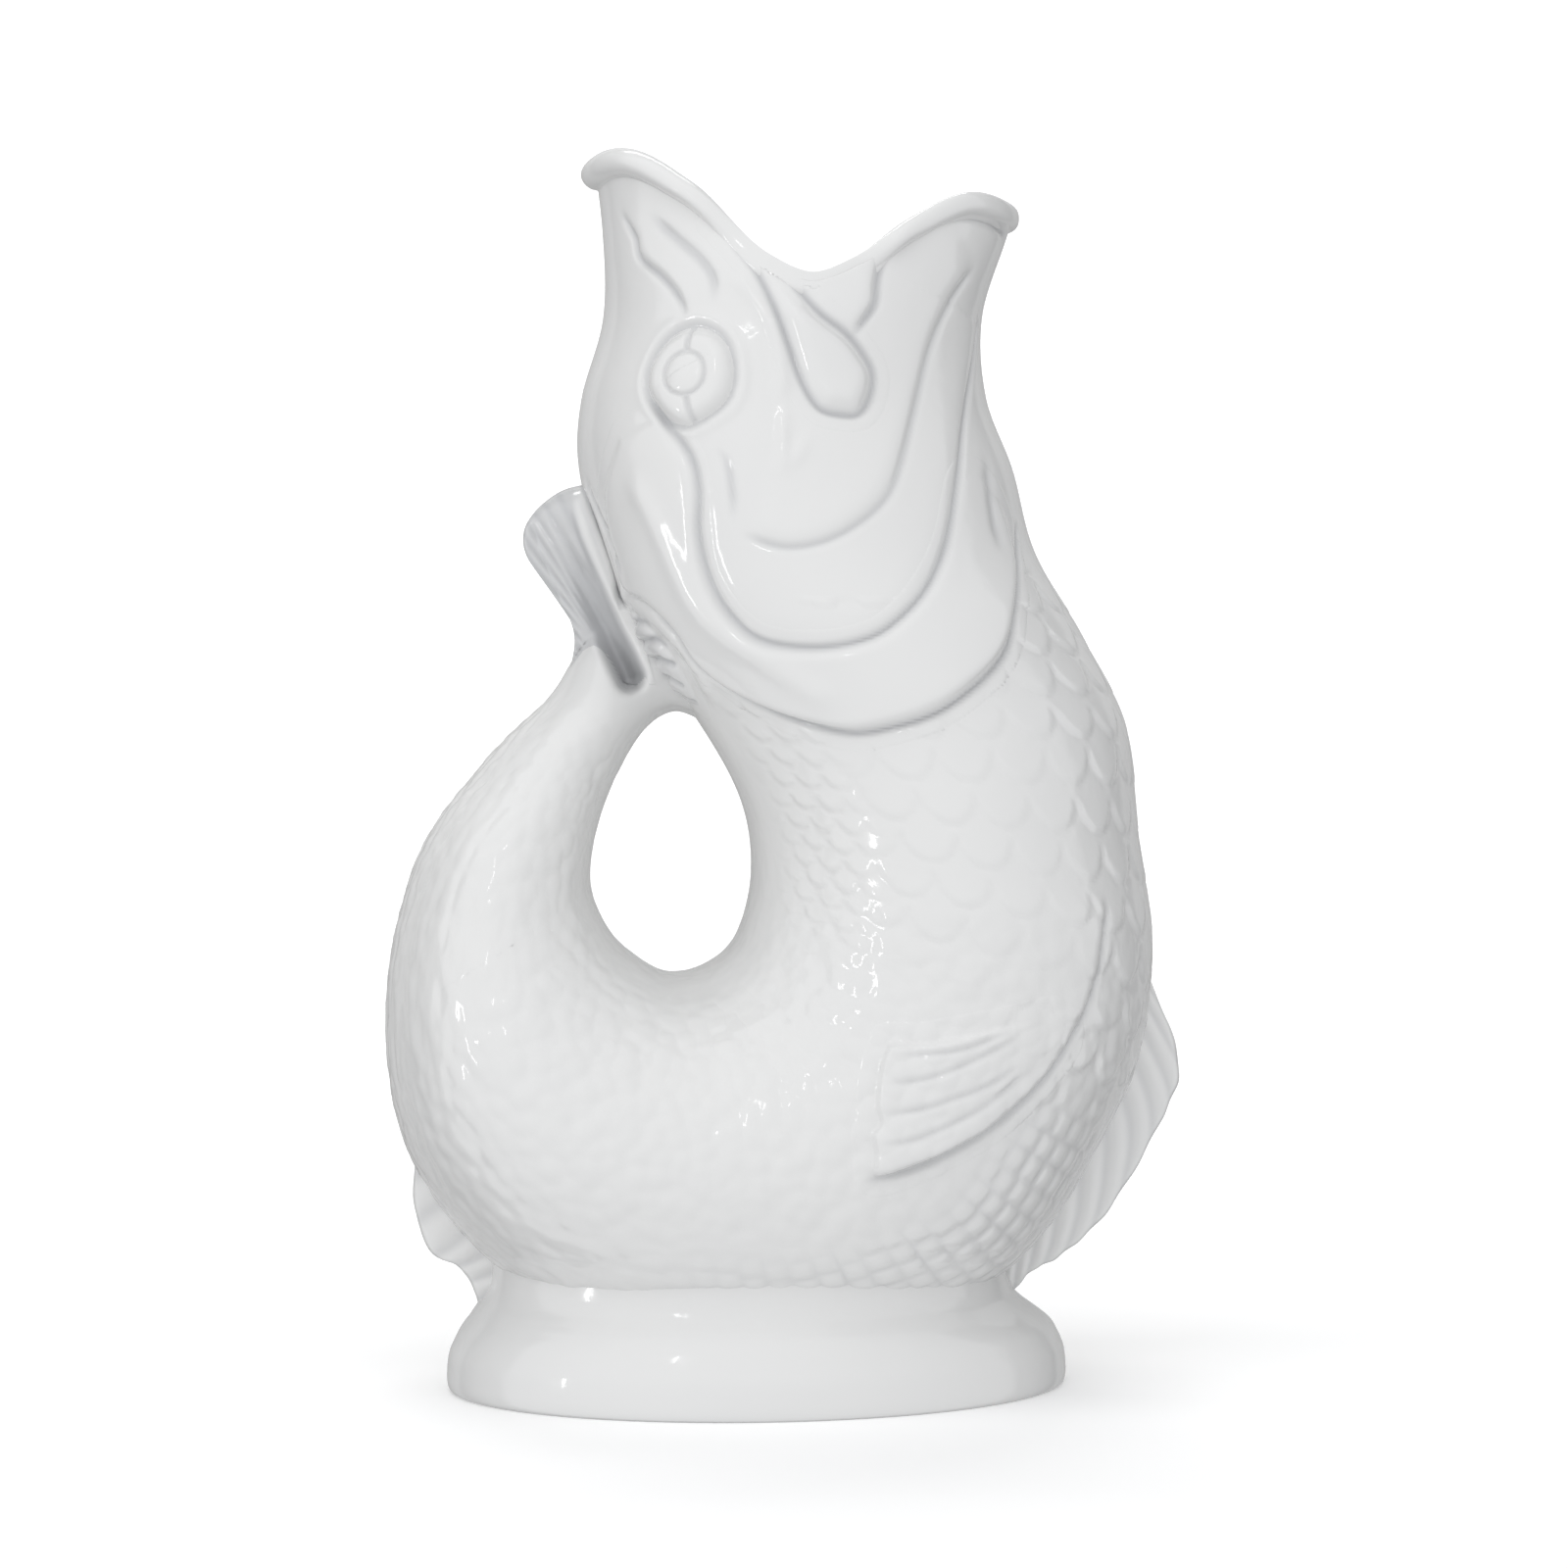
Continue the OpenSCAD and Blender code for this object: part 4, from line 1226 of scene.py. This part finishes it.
def left_of(line, places):
    """Distance from a line, positive on its left."""
    distance, side, _ = near(line, places)
    return np.where(side > 0, distance, -distance)


fan_root = curve(FAN_ROOT, np.linspace(0, len(FAN_ROOT) - 1, len(FAN_EDGE)))
face, s, t = ruled(fan_root, (fan_root + FAN_EDGE) / 2, FAN_EDGE, 180, 90)
fan_x, fan_z = face[..., 0], face[..., 1]
flat_face = mid_plane(face)
past_border, past_crease = (left_of(line, flat_face) for line in (FAN_BORDER, FAN_CREASE))
to_pocket, _, _ = near(POCKET, flat_face)
spread = np.degrees(np.arctan2(fan_z - FAN_PIVOT[1], fan_x - FAN_PIVOT[0]))
ridge = 0.5 + 0.5 * np.cos(2 * math.pi * spread / FAN_RIB + 2 * np.sin(spread / 4))
ribbed = ramp(t, 0.3, 0.3)
low_part = smooth_step((176 - fan_z) / 18)
leaf = np.clip(8.6 - 0.85 * np.abs(past_border), 1.0, None) + 0.3 * ridge * ribbed
leaf *= 1 - (0.1 + 0.75 * low_part) * bell(to_pocket, 2.5)
raised = smooth_step(past_border / 2 + 0.4)
fall = smooth_step(past_crease / 4 + 0.3) * ramp(fan_z, 161, 5)
leaf = leaf * (1 - raised) + (BORDER_HALF - CREASE_FALL * fall) * raised
from_edge = np.linalg.norm(face - face[:, -1:], axis=-1)
leaf *= np.sqrt(1 - (1 - np.clip(from_edge / (1.1 * leaf), 0, 1)) ** 2)
print("fan up to", round(float(2 * leaf.max()), 1), "mm thick")

# %% [markdown]
# ## Tail fan
# The fan grows out of the tail. It takes the larger of the leaf's thickness and the tail's, blended, so
# that no seam shows, and it sinks under the tail's skin where the tail is much thicker. Painted shade
# darkens the thin part, past the crease, between the ribs and in the fold.

# %% Tail fan
BLEND = 0.9
slice_u, cosine = locate(face.reshape(-1, 2), 15.5, TAIL_TIP)
tail_half = curve(SLICES, slice_u)[:, 4] * np.sqrt(np.clip(1 - cosine ** 2, 0, 1))
tail_half = tail_half.reshape(s.shape) * pocket_share(face)
half = BLEND * np.log(np.exp(leaf / BLEND) + np.exp(tail_half / BLEND) - 1)
half -= 1.2 * smooth_step((tail_half - leaf - 3) / 4)
half = np.maximum(half, 0)
half[[0, -1], :] = 0
half[:, -1] = 0
# Painted shade on the thin part, past the crease, between the ribs and in the fold.
deep = 0.7 * (1 - raised) + 0.8 * smooth_step(4 * fall) * raised
deep += 0.3 * (1 - ridge) ** 2 * ribbed + 0.8 * low_part * bell(to_pocket, 2.6)
blade("tail_fan", "tail_fin", face, half, deep)

# %% [markdown]
# ## Plinth
# The plinth is a turned oval: a profile is spun once round and then narrowed across the fish. Its
# shoulder is convex, a hollow band leads up to the body, and the profile ends inside the wall of the
# body. Underneath is a foot ring. The upper part is moved a little towards the tail, because the body
# doesn't stand quite in the middle.

# %% Plinth
FLARE, FOOT_RECESS, FOOT_RING = 13, 3, 7
SEAT_LENGTH, SEAT_WIDTH = 0.322 * LENGTH, 0.352 * BODY
SEAT_SHIFT = 1.8
PLINTH_STEPS, PROFILE_POINTS = 180, 54
FOOT = SEAT_LENGTH + FLARE
outside = [(FOOT + x, z) for x, z in [
    (-1.6, 0), (-0.7, 0.35), (-0.15, 1.4), (0, 3.5), (-0.4, 7.5), (-1.6, 10.5), (-3.2, 13.4),
    (-5.2, 15.8), (-7.4, 17.6), (-9.4, 19.6), (-10.7, 22.6), (-11.3, 28)]]
inner_ring = FOOT - 0.31 * FLARE - FOOT_RING
profile = np.vstack([
    [(0, FOOT_RECESS), (inner_ring - 2, FOOT_RECESS), (inner_ring - 0.5, FOOT_RECESS - 0.6),
     (inner_ring, 0.6), (inner_ring + 0.6, 0)],
    curve(outside, np.linspace(0, len(outside) - 1, PROFILE_POINTS)),
    [(FOOT - 1.3 * FLARE, 1.1 * PLINTH), (FOOT - 1.45 * FLARE, PLINTH),
     (FOOT - 0.95 * FLARE - WALL, 0.7 * PLINTH), (FOOT - 0.35 * FLARE - WALL, FOOT_RECESS + WALL),
     (0, FOOT_RECESS + WALL)],
])
plinth_bm = bmesh.new()
plinth_bm.verts.layers.float.new("hollow")
corners = [plinth_bm.verts.new((x * MM, 0, z * MM)) for x, z in profile]
sides = [plinth_bm.edges.new(pair) for pair in zip(corners[:-1], corners[1:])]
bmesh.ops.spin(plinth_bm, geom=corners + sides, cent=(0, 0, 0), axis=(0, 0, 1), angle=2 * math.pi,
               steps=PLINTH_STEPS, use_merge=True, use_duplicate=False)
bmesh.ops.remove_doubles(plinth_bm, verts=plinth_bm.verts, dist=WELD)
bmesh.ops.scale(plinth_bm, vec=(1, SEAT_WIDTH / SEAT_LENGTH, 1), verts=plinth_bm.verts)
for vert in plinth_bm.verts:
    end_share, level = vert.co.x / (FOOT * MM), vert.co.z / MM
    start, run = (12, 5) if end_share > 0 else (15, 4)
    vert.co.x -= SEAT_SHIFT * MM * abs(end_share) * float(ramp(level, start, run))
bmesh.ops.recalc_face_normals(plinth_bm, faces=plinth_bm.faces)
finish_piece(plinth_bm, "oval_plinth", "plinth")
